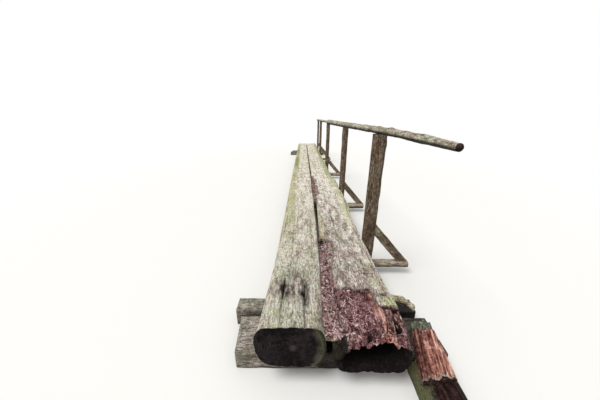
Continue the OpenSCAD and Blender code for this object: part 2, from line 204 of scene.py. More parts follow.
def rough(points, size, seed=0, octaves=3):
    """Layered noise whose largest lumps are size metres across, or a size for each axis."""
    total, share = 0.0, 1.0
    for k in range(octaves):
        total = total + share * noise(points / np.asarray(size) * 2 ** k, seed + k)
        share *= 0.55
    return total


def spots(x, y, z=0.0):
    """Points from separate places, to read noise at."""
    return np.stack(np.broadcast_arrays(x, y, z), axis=-1)


def smooth(value, start, end):
    """0 before start, 1 after end, and an even rise between them, also when end is the smaller."""
    t = np.clip((value - start) / (end - start), 0, 1)
    return t * t * (3 - 2 * t)


def bell(value, middle, width):
    """1 at the middle, fading out over the width on both sides."""
    return np.exp(-((value - middle) / width) ** 2)


def stations(*stretches):
    """Places along a piece, its last end too. A stretch is its start, its end and the step between places."""
    places = [np.arange(start, end, step) for start, end, step in stretches]
    return np.append(np.concatenate(places), stretches[-1][1])


def hewn_outline(heart_x, radius, swell_x, swell, flats, crispness):
    """Outlines across a log, one a row: an oval of two circles cut by flats, each its direction and distance.
    A low crispness wears the corners rounder."""
    turn = np.radians(np.linspace(-90, 270, 721))
    heart_x, radius, crispness = heart_x[:, None], radius[:, None], crispness[:, None]
    aside = (swell_x - heart_x) * np.cos(turn)
    beside = (swell_x - heart_x) * np.sin(turn)
    body = np.maximum(radius, aside + np.sqrt(np.maximum(swell[:, None] ** 2 - beside ** 2, 0)))
    reach = body ** -crispness
    for direction, distance in flats:
        facing = np.maximum(np.cos(turn - math.radians(direction)), 0)
        reach = reach + (facing / np.broadcast_to(distance, radius.shape)) ** crispness
    reach = reach ** (-1 / crispness)
    return heart_x + reach * np.cos(turn), heart_z + reach * np.sin(turn)


def even_points(x, z, counts):
    """Points spaced evenly round each outline: counts are for its lower right, upper and lower left part."""
    marks = [0, 180, 540, 720]
    rows = np.zeros((2, len(x), sum(counts)))
    for row in range(len(x)):
        first = 0
        for a, b, n in zip(marks, marks[1:], counts):
            px, pz = x[row, a:b + 1], z[row, a:b + 1]
            run = np.concatenate([[0], np.cumsum(np.hypot(np.diff(px), np.diff(pz)) + 1e-9)])
            at = np.linspace(0, run[-1], n, endpoint=False)
            rows[0, row, first:first + n] = np.interp(at, run, px)
            rows[1, row, first:first + n] = np.interp(at, run, pz)
            first += n
    return rows


def outward(grid):
    """Unit directions out of a tube of points, rows along it and columns round it."""
    along = np.gradient(grid, axis=0)
    across = (np.roll(grid, -1, axis=1) - np.roll(grid, 1, axis=1)) / 2
    out = np.cross(along, across)
    return out / np.maximum(np.linalg.norm(out, axis=2, keepdims=True), 1e-12)


def drying_checks(across, along, lines, seed=0):
    """How deep long cracks are at each point: a line is its place across, start, end, width and depth."""
    deep = np.zeros_like(along)
    for k, (place, start, end, width, depth) in enumerate(lines):
        wander = 0.007 * noise(spots(along * 3.1, 5.3 * k), seed + k)
        t = np.clip((along - start) / (end - start), 0, 1)
        swell = np.sqrt(np.clip(4 * t * (1 - t), 0, 1))
        deep = np.maximum(deep, depth * swell * bell(across, place + wander, width * (0.4 + 0.6 * swell)))
    return deep


def random_checks(draw, count, across, along, width, depth):
    """Lines for drying_checks, at random within their spans."""
    return [(draw.uniform(*across), start, start + draw.uniform(0.5, 2.4), draw.uniform(*width),
             draw.uniform(*depth)) for start in draw.uniform(*along, count)]


closing_shares = (0.985, 0.88, 0.7, 0.5, 0.3, 0.12)
closing_rows = len(closing_shares)


def closed_ends(grid, marks, near=None, far=None):
    """Adds rippled rings that close a tube's ends. near and far set marks of their own there, and False
    leaves that end open."""
    shares = np.array(closing_shares)[:, None, None]
    for first, own in ((True, near), (False, far)):
        if own is False:
            continue
        ring, inner = (grid[0], grid[1]) if first else (grid[-1], grid[-2])
        ahead = (ring - inner).mean(axis=0)
        ahead = ahead / np.linalg.norm(ahead)
        centre = ring.mean(axis=0)
        rings = centre + (ring - centre) * shares
        rings = rings + ahead * (0.002 * rough(rings, 0.05, 21) - 0.001)[..., None]
        parts = {key: np.broadcast_to((own or {}).get(key, values[0 if first else -1]), rings.shape[:2])
                 for key, values in marks.items()}
        marks = {key: np.concatenate([parts[key][::-1], values] if first else [values, parts[key]])
                 for key, values in marks.items()}
        grid = np.concatenate([rings[::-1], grid] if first else [grid, rings])
    return grid, marks


def skin(name, grid, marks, material, nodes, strands=None, heart=(0.0, 0.0)):
    """A closed piece from rings of points, ends drawn to a point. marks are values for its finish, and
    strands are its points in a frame of their own with Y along the grain."""
    rows, count = grid.shape[:2]
    strands = grid - (heart[0], 0.0, heart[1]) if strands is None else strands

    def listed(values):
        """Values for every point, and for the two points that close the ends."""
        flat = values.reshape(rows * count, -1)
        ends = [end.mean(axis=0, keepdims=True) for end in (flat[:count], flat[-count:])]
        return np.concatenate([flat, *ends])

    points = listed(grid)
    row, column = np.meshgrid(np.arange(rows - 1), np.arange(count), indexing="ij")
    a = (row * count + column).ravel()
    b = (row * count + (column + 1) % count).ravel()
    quads = np.stack([a, a + count, b + count, b], axis=1)
    edge = np.arange(count)
    after = (edge + 1) % count
    last = (rows - 1) * count
    near_fan = np.stack([0 * edge + rows * count, edge, after], axis=1)
    far_fan = np.stack([0 * edge + rows * count + 1, last + after, last + edge], axis=1)
    corners = points[quads]
    volume = np.einsum("ij,ij->i", corners[:, 0], np.cross(corners[:, 1], corners[:, 2])).sum()
    volume += np.einsum("ij,ij->i", corners[:, 0], np.cross(corners[:, 2], corners[:, 3])).sum()
    faces = quads.tolist() + near_fan.tolist() + far_fan.tolist()
    if volume < 0:
        faces = [face[::-1] for face in faces]
    mesh = bpy.data.meshes.new(name)
    mesh.from_pydata(points.tolist(), [], faces)
    mesh.shade_smooth()
    mesh.set_sharp_from_angle(angle=math.radians(62))
    for mark, values in marks.items():
        mesh.attributes.new(mark, "FLOAT", "POINT").data.foreach_set(
            "value", listed(values).ravel().astype(np.float32))
    mesh.attributes.new("strand", "FLOAT_VECTOR", "POINT").data.foreach_set(
        "vector", listed(strands).ravel().astype(np.float32))
    return finished(name, mesh, material, nodes)


def finished(name, mesh, material, nodes):
    """Makes a mesh a piece of the bridge that stands for its CAD nodes."""
    if material:
        mesh.materials.append(material)
    piece = bpy.data.objects.new(name, mesh)
    bpy.context.scene.collection.objects.link(piece)
    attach(piece, "root")
    for node in nodes:
        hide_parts(node)
    return piece


brown_rot = ("#1e0b0d", "#5b3539", "#966d6e", "#dabab7")


def weathered_wood(name, tones, lichen, rot=brown_rot, flecks=0.5, end=("#060304", "#3f3638"), bump=0.0025,
                   stringy=False):
    """Softwood that has stood outdoors for years: matt, with raised grain, lichen, moss, damp and rot.
    tones run from the dark grain lines to the palest grain. Marks on the mesh say where the rest shows. The
    damp mark darkens for damp, stains and painted shade, and the pale mark brightens for the wood's
    own pallor and for painted light."""
    material, tree = new_material(name)
    place = add_node(tree, "ShaderNodeTexCoord").outputs["Object"]
    strand = add_node(tree, "ShaderNodeAttribute", attribute_name="strand").outputs["Vector"]
    drawn, short = [
        add_node(tree, "ShaderNodeMapping", {"Vector": strand, "Scale": (1.0, squeezed, 1.0)}).outputs[0]
        for squeezed in (0.05, 0.30)]
    at = {mark: add_node(tree, "ShaderNodeAttribute", attribute_name=mark).outputs["Fac"]
          for mark in ("moss", "pale", "damp", "rot", "warm", "cut")}
    for pattern, vector, size_mm, detail, harsh in (
            ("fibre", drawn, 4, 3.0, 0.6), ("streak", drawn, 16, 4.0, 0.6), ("fleck", short, 11, 4.0, 0.7),
            ("blotch", short, 60, 4.0, 0.65), ("speck", place, 6, 3.0, 0.7), ("crust", place, 26, 5.0, 0.75),
            ("patch", place, 170, 3.0, 0.6)):
        at[pattern] = add_node(tree, "ShaderNodeTexNoise", {
            "Vector": vector, "Scale": 1000 / size_mm, "Detail": detail, "Roughness": harsh}).outputs["Fac"]
    ring_mm = 9.0
    at["rings"] = add_node(tree, "ShaderNodeTexWave", {
        "Vector": strand, "Scale": 2 * math.pi / 20 / (ring_mm / 1000), "Distortion": 1.8,
        "Detail": 2.0, "Detail Scale": 1.2}, wave_type="RINGS", rings_direction="Y").outputs["Fac"]
    across = add_node(tree, "ShaderNodeVectorMath", {0: strand, 1: (1.0, 0.0, 1.0)}, operation="MULTIPLY")
    at["from_pith"] = add_node(tree, "ShaderNodeVectorMath", {0: across.outputs[0]},
                               operation="LENGTH").outputs["Value"]

    def total(*names):
        """The sum of some patterns and marks."""
        result = at[names[0]]
        for name in names[1:]:
            result = add_node(tree, "ShaderNodeMath", {0: result, 1: at[name]}, operation="ADD").outputs[0]
        return result

    def level(names, start, end, top=1.0):
        """A share that rises as the sum of some patterns and marks goes from start to end."""
        return add_node(tree, "ShaderNodeMapRange", {
            "Value": total(*names), "From Min": start, "From Max": end, "To Max": top}).outputs[0]

    def toned(names, *stops):
        """Colours along the mean of some patterns, each stop a place and a colour."""
        mean = add_node(tree, "ShaderNodeMath", {0: total(*names), 1: 1 / len(names)}, operation="MULTIPLY")
        return add_node(tree, "ShaderNodeValToRGB", {"Fac": mean.outputs[0]}, ramp=stops).outputs[0]

    def layered(colour, *layers):
        """A colour under others, each layer its share, its colour and how it blends."""
        for share, cover, blend in layers:
            colour = add_node(tree, "ShaderNodeMix", {0: share, 6: colour, 7: cover}, data_type="RGBA",
                              blend_type=blend).outputs[2]
        return colour

    # The bleached share follows the pale mark, which is painted light on top faces and further along the
    # deck, and lets lichen spread where it is high.
    at["bleached"] = level(["pale"], 0.0, 1.0, 0.16)
    at["strong blotch"] = level(["blotch"], 0.40, 0.62)
    at["strong crust"] = level(["crust"], 0.40, 0.62)
    grey = layered(
        toned(["fibre", "fleck", "speck"], *zip((0.41, 0.475, 0.525, 0.59), tones)),
        # A faint drift from pinkish to greenish grey, then dirt in mottles
        (1.0, toned(["speck", "patch", "crust"], (0.45, "#fff0ed"), (0.55, "#f1f9ea")), "MULTIPLY"),
        (1.0, toned(["strong blotch", "strong crust"],
                    (0.1, "#c4beb6"), (0.5, "#f3f1ed"), (0.9, "#ffffff")), "MULTIPLY"),
        # Crusts of pale lichen, and a brightening by the pale mark: painted light on top faces and further
        # along the deck, the wood's own pallor on torn faces
        (level(["speck", "fleck", "blotch", "bleached"], 1.57, 1.70, lichen),
         toned(["speck"], (0.38, "#cdc9b4"), (0.60, "#fbf9f0")), "MIX"),
        (at["pale"], linear("#fdf9ee"), "SOFT_LIGHT"),
        # A thin yellow-green film, tufts of darker moss, and dark flecks of dirt in the grain
        (level(["moss", "crust", "blotch", "patch"], 1.71, 1.90, 0.80),
         toned(["speck"], (0.38, "#747545"), (0.5, "#b0b178"), (0.62, "#e2e1b5")), "MIX"),
        (level(["moss", "speck", "fleck"], 1.47, 1.64, 0.6), linear("#6d7038"), "MIX"),
        (level(["fleck", "speck", "blotch"], 1.38, 1.26, flecks), linear("#4b443b"), "MIX"))
    rotten = layered(
        toned(["streak" if stringy else "speck", "crust"], *zip((0.41, 0.475, 0.53, 0.60), rot)),
        (at["warm"], toned(["streak", "fibre"], (0.42, "#351612"), (0.475, "#8f5347"), (0.525, "#cb907e"),
                           (0.58, "#ecc8b8")), "MIX"))
    sawn_end = layered(
        toned(["rings"], (0.2, end[0]), (0.8, end[1])),
        (level(["crust", "patch", "speck"], 1.34, 1.60), linear(end[0]), "MIX"),
        (level(["from_pith"], 0.030, 0.010, 0.38), linear("#625450"), "MIX"))
    # Last, the damp mark darkens towards near black: damp, stains and painted shade.
    colour = layered(
        grey, (at["rot"], rotten, "MIX"), (at["cut"], sawn_end, "MIX"),
        (level(["damp"], 0.0, 1.0, 0.985), linear("#0c0b0b"), "MIX"))
    relief = add_node(tree, "ShaderNodeBump", {
        "Strength": 0.8, "Distance": bump, "Height": total("fibre", "fleck", "speck", "crust", "speck")})
    finish = add_node(tree, "ShaderNodeBsdfPrincipled", {
        "Base Color": colour, "Roughness": 0.9, "Specular IOR Level": 0.1, "Normal": relief.outputs[0]})
    add_node(tree, "ShaderNodeOutputMaterial", {"Surface": finish.outputs[0]})
    return material


# Hewn softwood, weathered to a warm light grey that reads as almost white where painted light brightens its
# top further along
left_log_wood = weathered_wood("hewn_softwood_left", ("#736e66", "#b6b1a8", "#dcd8cf", "#f9f6ee"), 0.75)
skin_inset = 0.002


def seam_side(rows_y):
    """How far a log's inner side stands from the joint: the seam narrows along the bridge."""
    return np.interp(rows_y, (2.4, 3.6), (joint_gap, 0.004))[:, None]


def hewn_relief(grid, fibre_height, seed):
    """The axe's shallow facets, raised fibres and a fine roughness."""
    facets = 0.0035 * rough(grid, (0.16, 0.45, 0.16), seed)
    fibres = fibre_height * rough(grid, (0.011, 0.16, 0.011), seed + 1)
    return facets + fibres + 0.0016 * rough(grid, 0.022, seed + 2, 2)


def flank_checks(draw, y, z, seed):
    """Random drying checks along a log's flanks."""
    lines = random_checks(draw, 22, (underside_z + 0.05, deck_z - 0.06), (near_y, far_y - 2),
                          (0.004, 0.006), (0.004, 0.010))
    return drying_checks(z, y, lines, seed)


def painted_shade_below(grid, z, seed):
    """Painted shade on a log's underside and lower flanks: darker towards the bottom, in uneven streaks."""
    streaks = np.clip(0.35 + 0.5 * rough(grid, (0.1, 0.5, 0.03), seed), 0, 0.7)
    return np.maximum(0.6 * smooth(z, underside_z + 0.10, underside_z),
                      smooth(z, heart_z + 0.02, underside_z + 0.03) * streaks)


def broken_film(grid, seed):
    """Gaps and thicker patches along the green film on a log's outer edge."""
    return np.clip(0.95 + 0.35 * rough(grid, (0.25, 0.6, 0.10), seed), 0.5, 1.2)


rows_y = stations((near_y, 0.90, 0.005), (0.90, 2.60, 0.010), (2.60, 5.50, 0.024), (5.50, far_y, 0.05))
down_log = (rows_y - near_y) / (far_y - near_y)
flare = (left_butt - left_body) * np.clip(1 - (rows_y - near_y) / flare_length, 0, 1) ** 2
radius = left_body + (left_tip - left_body) * down_log + flare
heart_x = left_heart_near + (left_heart_far - left_heart_near) * down_log
swell = left_swell * np.interp(rows_y - near_y, (0, 0.4, 1.0, 2.0), (0.75, 0.86, 0.91, 1.0))
worn_corner = 0.216 + 0.060 * smooth(rows_y[:, None], near_y, near_y + 0.7)
flats = [(90, deck_z - heart_z), (-90, heart_z - underside_z), (0, -seam_side(rows_y) - heart_x[:, None]),
         (38, worn_corner)]
crispness = 7 + 19 * smooth(rows_y, near_y, near_y + 1.6)
outline_x, outline_z = even_points(
    *hewn_outline(heart_x, radius, left_swell_x, swell, flats, crispness), (22, 98, 24))
grid = spots(outline_x, rows_y[:, None], outline_z)

out = outward(grid)
x, y, z = np.moveaxis(grid, -1, 0)
on_top = smooth(out[..., 2], 0.55, 0.9)
draw = np.random.default_rng(11)
grooves = [(-0.309, 0.00, 0.23, 0.010, 0.018), (-0.160, 0.01, 0.125, 0.009, 0.016),
           (-0.320, 0.06, 0.17, 0.006, 0.012), (-0.170, -0.01, 0.07, 0.006, 0.010),
           (-0.313, -0.27, 0.12, 0.004, 0.008), (-0.163, -0.27, 0.07, 0.004, 0.010)]
grooves += random_checks(draw, 30, (-0.40, -0.03), (near_y, far_y - 2), (0.003, 0.005), (0.003, 0.007))
checked = drying_checks(x, y, grooves, 40) * on_top
checked = checked + (1 - on_top) * flank_checks(draw, y, z, 80)
shift = hewn_relief(grid, 0.0015, 1) + 0.006 * rough(grid, (0.07, 0.3, 0.07), 4, 2) * bell(y, near_y, 0.2)
grid = grid + out * (shift - checked - skin_inset)[..., None]
grid[..., 1] += 0.030 * smooth(y, near_y + 0.14, near_y) * smooth(z, 0.26, deck_z)

# Dark stains round the two deep grooves: each has its share, its place and width across, and those along
stains = ((0.70, -0.315, 0.036, 0.09, 0.15), (0.60, -0.168, 0.040, 0.04, 0.12),
          (0.80, -0.22, 0.10, 0.15, 0.13))
stain = sum(dark * bell(x, stain_x, width) * bell(y, stain_y, length)
            for dark, stain_x, width, stain_y, length in stains)
stain = stain * on_top * np.clip(0.7 + 0.9 * rough(grid, (0.02, 0.07, 0.02), 6), 0, 1.2)
stain += 0.40 * np.clip(rough(grid, (0.035, 0.22, 0.035), 7), 0, 1) * bell(y, near_y, 0.7)
# Darker in the checks and the stains, with painted shade under the log and on its inner face down in the seam
# between the logs.
damp = np.maximum.reduce([
    np.clip(checked / 0.012, 0, 1), stain, painted_shade_below(grid, z, 9),
    0.9 * smooth(x, -0.055, -0.015) * smooth(z, deck_z - 0.012, deck_z - 0.05)])
moss = smooth(x, -0.28, -0.35) * smooth(z, heart_z - 0.06, heart_z + 0.08)
moss = moss * (0.07 + 0.28 * smooth(y, 0.3, 2.0))
edge = smooth(x, -0.22, -0.32) * smooth(y, 0.2, 1.3)
edge = edge * (0.35 + 0.65 * smooth(z, heart_z - 0.05, heart_z + 0.07))
moss = np.maximum(moss, (0.33 + 0.17 * smooth(y, 1.5, 4.0)) * edge) * broken_film(grid, 8)
moss += 0.08 * smooth(y, 1.2, 5.0) * on_top
moss += 0.16 * smooth(x, -0.12, -0.05) * smooth(y, 1.0, 0.2) * smooth(z, deck_z - 0.02, deck_z - 0.08)
# The pale mark on top is painted light: the walked face grows paler further along the deck.
marks = {"moss": moss, "damp": np.clip(damp, 0, 1), "pale": np.clip(0.20 * y, 0, 0.6) * on_top,
         "cut": 0 * x}
grid, marks = closed_ends(grid, marks, {"cut": 1.0, "damp": 0.0, "pale": 0.0, "moss": 0.0},
                          {"cut": 0.7, "damp": 0.2})
marks["cut"][closing_rows] = 0.6
end_face = grid[:closing_rows + 1]
mossy_rim = smooth(np.hypot(end_face[..., 0] + 0.24, end_face[..., 2] - 0.31), 0.172, 0.20)
mossy_rim = mossy_rim * smooth(end_face[..., 0], -0.13, -0.08)
marks["moss"][:closing_rows + 1] = 0.9 * mossy_rim
marks["damp"][:closing_rows + 1] = 0.955 * mossy_rim
marks["cut"][:closing_rows + 1] -= 0.6 * mossy_rim
skin("left_log_wood", grid, marks, left_log_wood, ["left_log"],
     heart=(left_heart_near, heart_z - 0.028))


# Right deck log
# A log like the left one, hewn on its outer side too, where the posts stand beside it.
# Brown rot has taken the top of its near end, hollowed it, and eaten troughs into its inner edge.
outer_side_x = 0.437
right_heart_x = 0.238
right_body, right_tip, right_bulge = 0.227, 0.218, 0.250
bulge_length = 0.60
right_swell_x, right_swell = 0.190, 0.212
rot_edge_y, tongue_tip_y = near_y + 0.385, near_y + 0.207
tongue_inner_x = 0.318
inner_edge_x = 0.045
troughs = (((0.08, 0.15, 0.32, 0.45, 0.61, 0.79, 0.83), (0.0, 0.014, 0.026, 0.050, 0.070, 0.083, 0.0)),
           ((2.18, 2.27, 3.06, 3.41), (0.0, 0.058, 0.058, 0.0)))
hollow_length, hollow_centre = 0.48, (0.262, 0.262)
crust_peak_x = 0.27
# Each pit has its place across and along, its width as a share of its length, and its size
big_pit, small_pit = (0.418, -0.135, 0.8, 0.042), (0.240, -0.182, 1.0, 0.032)
knot_place = (0.372, 0.055, 1.5, 0.012)

# Hewn softwood, weathered to a cooler, faintly violet grey, with dark red-brown rot at its near end
right_log_wood = weathered_wood("hewn_softwood_right", ("#60565a", "#948a88", "#bab1ad", "#e6dfdb"), 0.75)


def trough_depth(x, y):
    """How deep the rot has eaten into the inner edge."""
    deep = 0.0 * x
    for places, widths in troughs:
        reach = np.interp(y, places, widths)
        reach = reach * (1 + 0.16 * rough(spots(0.0, y), 0.12, 61)) + 0.004 * rough(spots(x, y), 0.02, 62)
        deep = np.maximum(deep, 0.040 * smooth(inner_edge_x + reach - x, 0.0, 0.024) * (reach > 0.008))
    return deep


def pit(x, y, pit_x, pit_y, squash, size):
    """1 in the middle of a pit, fading out over its size."""
    return bell(np.hypot((x - pit_x) / squash, y - pit_y), 0.0, size)


def rot_ridges(x, y):
    """Where two fibrous orange ridges stand on the rotten end."""
    first = bell(x, np.interp(y, (-0.25, -0.18, -0.03), (0.366, 0.347, 0.322)), 0.015)
    second = bell(x, 0.378 - 0.45 * y, 0.012) * smooth(y, 0.03, -0.01) * smooth(y, -0.13, -0.09)
    return first * smooth(y, 0.02, -0.04) + second


def rot_depth(x, y):
    """How far the rotten end's surface lies below the walked face: a ragged step, then lumps and fibres."""
    at = spots(x, y)
    edge = rot_edge_y - 0.022
    edge = edge + (tongue_tip_y - edge) * smooth(x, tongue_inner_x - 0.012, tongue_inner_x + 0.006)
    edge = edge + 0.019 * rough(at, 0.040, 51) * (x < tongue_inner_x + 0.01)
    back = edge - y
    under_tongue = smooth(x, tongue_inner_x - 0.02, tongue_inner_x + 0.01)
    down = 0.020 + 0.028 * np.maximum(smooth(back, 0.0, 0.10), under_tongue)
    down = down + 0.043 * np.clip(back / 0.38, 0, 1) + 0.030 * smooth(x, 0.10, 0.03)
    down = down + 0.028 * smooth(y, near_y + 0.12, near_y) + 0.009 * rough(at, (0.016, 0.11, 1.0), 50)
    raised = 0.024 * smooth(x, 0.30, 0.345) * smooth(x, 0.425, 0.385)
    down = down - raised * smooth(y, near_y, near_y + 0.10)
    down = down + 0.050 * ((x - crust_peak_x) / 0.2) ** 2 * smooth(y, -0.10, near_y)
    down = down + 0.060 * pit(x, y, *big_pit)
    down = down - 0.016 * rot_ridges(x, y) + 0.030 * pit(x, y, *small_pit)
    down = down + 0.006 * np.abs(rough(at, (0.013, 0.20, 1.0), 52)) * smooth(x, 0.24, 0.33)
    down = down + 0.005 * rough(at, 0.05, 53) + 0.003 * rough(at, 0.013, 54)
    return (down + 0.02) * smooth(back, 0.0, 0.010) - 0.02


rows_y = stations((near_y, 0.50, 0.005), (0.50, 2.30, 0.0095), (2.30, 5.00, 0.022), (5.00, far_y, 0.05))
down_log = (rows_y - near_y) / (far_y - near_y)
bulge = np.clip(1 - (rows_y - near_y) / bulge_length, 0, 1) ** 2
radius = right_body + (right_tip - right_body) * down_log + (right_bulge - right_body) * bulge
swell = right_swell * np.interp(rows_y, (2.51, 2.91), (0.6, 1.0))
flats = [(90, deck_z - heart_z), (-90, heart_z - underside_z), (180, right_heart_x - seam_side(rows_y)),
         (0, outer_side_x - right_heart_x + 0.055 * bulge[:, None])]
outline_x, outline_z = hewn_outline(
    right_heart_x + 0 * rows_y, radius, right_swell_x, swell, flats, 26 + 0 * rows_y)
outline_y = np.broadcast_to(rows_y[:, None], outline_x.shape)
lowered = np.maximum(rot_depth(outline_x, outline_y), trough_depth(outline_x, outline_y))
outline_x, outline_z = even_points(outline_x, np.minimum(outline_z, deck_z - lowered), (26, 96, 28))
grid = spots(outline_x, rows_y[:, None], outline_z)

out = outward(grid)
x, y, z = np.moveaxis(grid, -1, 0)
on_top = smooth(out[..., 2], 0.55, 0.9)
lowered = np.maximum(rot_depth(x, y), trough_depth(x, y))
outer_shell = smooth(x, 0.34, 0.38) * smooth(z, 0.29, 0.33)
sound_patches = np.clip(0.50 - 0.9 * rough(spots(x, y), (0.03, 0.06, 1.0), 56), 0, 0.95)
at_surface = smooth(z + lowered - deck_z, -0.014, -0.006)
rotten = smooth(lowered, 0.006, 0.014) * np.maximum(at_surface, outer_shell)
rotten = rotten * (1 - smooth(y, 0.16, 0.40) * sound_patches)
draw = np.random.default_rng(23)
checked = drying_checks(x, y, random_checks(
    draw, 30, (0.08, 0.42), (0.1, far_y - 2), (0.003, 0.005), (0.003, 0.007)), 140) * on_top * (1 - rotten)
checked = checked + (1 - on_top) * flank_checks(draw, y, z, 180)
for break_y, break_start, break_end in ((1.259, 0.110, 0.265), (0.282, 0.255, 0.390)):
    wander = 0.004 * noise(spots(x * 40, 0.0), 7)
    inside = smooth(x, break_start, break_start + 0.03) * smooth(x, break_end, break_end - 0.03)
    checked = np.maximum(checked, 0.007 * inside * on_top * bell(y, break_y + wander, 0.006))
knot_hole = pit(x, y, *knot_place) * on_top
shift = hewn_relief(grid, 0.0016, 31) + 0.0030 * rotten * rough(grid, 0.012, 34, 2)
grid = grid + out * (shift - checked - 0.008 * knot_hole - skin_inset)[..., None]
lip = smooth(y, 1.45, 1.75) * smooth(y, 3.26, 3.14) * smooth(x, 0.385, 0.425)
lip = lip * smooth(z, deck_z - 0.07, deck_z - 0.02)
jutting = 0.040 * lip * (1 - 0.45 * bell(y, 2.61, 0.12))
grid[..., 0] += jutting * (1 + 0.18 * rough(spots(0.0, y, z), 0.05, 41))

ragged = smooth(z, heart_z - 0.08, heart_z + 0.02)
torn = 0.022 * (1 + rough(spots(x, 0.0, z), 0.030, 35)) * (0.25 + 0.75 * ragged)
grid[..., 1] += torn * np.clip(1 - (y - near_y) / 0.09, 0, 1)
sagging = smooth(y, near_y + 0.09, near_y) * smooth(z, heart_z - 0.06, underside_z)
grid[..., 0] += 0.022 * sagging * smooth(x, 0.30, 0.44)
grid[..., 1] -= 0.016 * sagging
grid[..., 2] -= 0.014 * sagging

rim = grid[0]
shell = 0.012 + 0.005 * rough(spots(rim[:, 0], 0.0, rim[:, 2]), 0.03, 36)
shell = shell + 0.018 * smooth(rim[:, 0], 0.09, 0.03)
middle = np.array([hollow_centre[0], 0.0, hollow_centre[1]])
inward = middle - rim * (1, 0, 1)
reach = np.linalg.norm(inward, axis=1, keepdims=True)
mouth = rim + inward / reach * np.clip(shell[:, None], 0.003, 0.8 * reach)
hollow = []
for t in np.linspace(0, 1, 30):
    size = 1 - 0.50 * t - 0.3 * t ** 4
    centre = middle + np.array([-0.02, 0.0, 0.02]) * t
    ring = centre + (mouth - middle) * (size, 0, size)
    wall = 1 + 0.10 * rough(spots(ring[:, 0], 6 * t, ring[:, 2]), (0.05, 1, 0.05), 37) * min(1, 4 * t)
    ring = centre + (ring - centre) * wall[:, None]
    ring[:, 1] = mouth[:, 1] + 0.004 + hollow_length * t
    hollow.append(ring)
hollow = np.array(hollow)[::-1]
half_rim = ((mouth + rim) / 2 - (0, 0.004, 0))[None]

ridges = rot_ridges(x, y)
left_shell = smooth(x, 0.105, 0.085) * smooth(y, near_y + 0.22, near_y + 0.14)
moss = smooth(x, 0.32, 0.40) * smooth(z, heart_z - 0.04, heart_z + 0.08)
moss = moss * (0.18 + 0.14 * smooth(y, 0.4, 2.0))
moss = moss * np.clip(0.85 + 0.75 * rough(grid, (0.3, 0.7, 0.12), 58), 0.1, 1.2)
edge = smooth(x, 0.28, 0.38) * smooth(y, 0.2, 1.5)
edge = edge * (0.25 + 0.75 * smooth(z, heart_z - 0.02, heart_z + 0.10))
moss = np.maximum(moss, 0.35 * edge * broken_film(grid, 59))
moss = moss + 0.11 * smooth(x, 0.30, 0.36) * smooth(y, 0.75, 0.30) * on_top
moss = (moss + 0.12 * lip + 0.20 * smooth(y, 1.8, 4.5) * on_top) * (1 - rotten)
moss = np.maximum(moss, 0.30 * left_shell * smooth(z, 0.35, 0.31))

# Painted shade on the rot's step: its faces that turn towards the near end, under the ragged edge.
step_face = smooth(-out[..., 1], 0.35, 0.65) * rotten * smooth(y, near_y + 0.03, near_y + 0.06)
step_face = step_face * (0.45 + 0.5 * smooth(x, 0.30, 0.33))
beside_ridges = rot_ridges(x - 0.024, y) * (1 - ridges) * smooth(y, -0.22, -0.16)
splinters = rough(spots(x, y), (0.009, 0.12, 1.0), 57) * smooth(x, 0.29, 0.34) * smooth(y, 0.10, 0.02)
# Darker in the checks, at the knot, beside the orange ridges, between splinters and on the near end's left
# shell. Painted shade under the log, on its inner face down in the seam, in the two pits, on the rot's step,
# and over the lower part of the near end, where the shell is also rotted dark.
damp = np.maximum.reduce([
    np.clip(checked / 0.010, 0, 1), 0.8 * knot_hole, painted_shade_below(grid, z, 60),
    0.85 * smooth(x, 0.055, 0.03) * smooth(z, deck_z - 0.02, deck_z - 0.06),
    0.65 * smooth(z, 0.34, 0.29) * smooth(y, -0.12, -0.20),
    0.97 * smooth(pit(x, y, *big_pit), 0.3, 0.6) * rotten,
    0.93 * pit(x, y, *small_pit),
    step_face,
    0.75 * beside_ridges * rotten,
    rotten * np.clip(-1.1 * splinters - 0.10 - ridges, 0, 0.85),
    0.85 * smooth(x, 0.125, 0.085) * smooth(y, near_y + 0.16, near_y + 0.06),
    0.95 * smooth(z, 0.31, 0.27) * smooth(y, near_y + 0.10, near_y + 0.02),
    0.96 * smooth(x, 0.110, 0.090) * smooth(y, near_y + 0.10, near_y + 0.04) * smooth(z, 0.39, 0.36)])
rot = np.maximum(rotten, 0.9 * smooth(y, near_y + 0.05, near_y + 0.01)) * (1 - 0.7 * left_shell)
frayed = 1 + 0.5 * rough(spots(x, y), (0.008, 0.08, 1.0), 55)
warm = np.clip(1.7 * ridges * frayed + 0.9 * splinters, 0, 0.95)
warm = np.maximum(warm, bell(x, 0.298, 0.014) * bell(y, 0.085, 0.030)) * rotten
littered = rotten * (1 - left_shell) * np.clip(1 - 1.5 * ridges, 0, 1) * smooth(out[..., 2], 0.3, 0.7)
littered = littered * (0.15 + 0.5 * smooth(x, 0.22, 0.12) + smooth(y, 0.25, 0.35))
littered = littered * smooth(y, near_y + 0.02, near_y + 0.07)
# The top grows paler further along the deck, which is painted light, and paler towards its outer edge.
pale = np.clip(0.38 * y - 0.05 + 0.42 * smooth(x, 0.28, 0.36), 0, 1) * on_top

# Each mark has three parts: the hollow from its back outwards, the rim round its mouth, and the outside
top_rim = smooth(rim[:, 2], 0.29, 0.32)
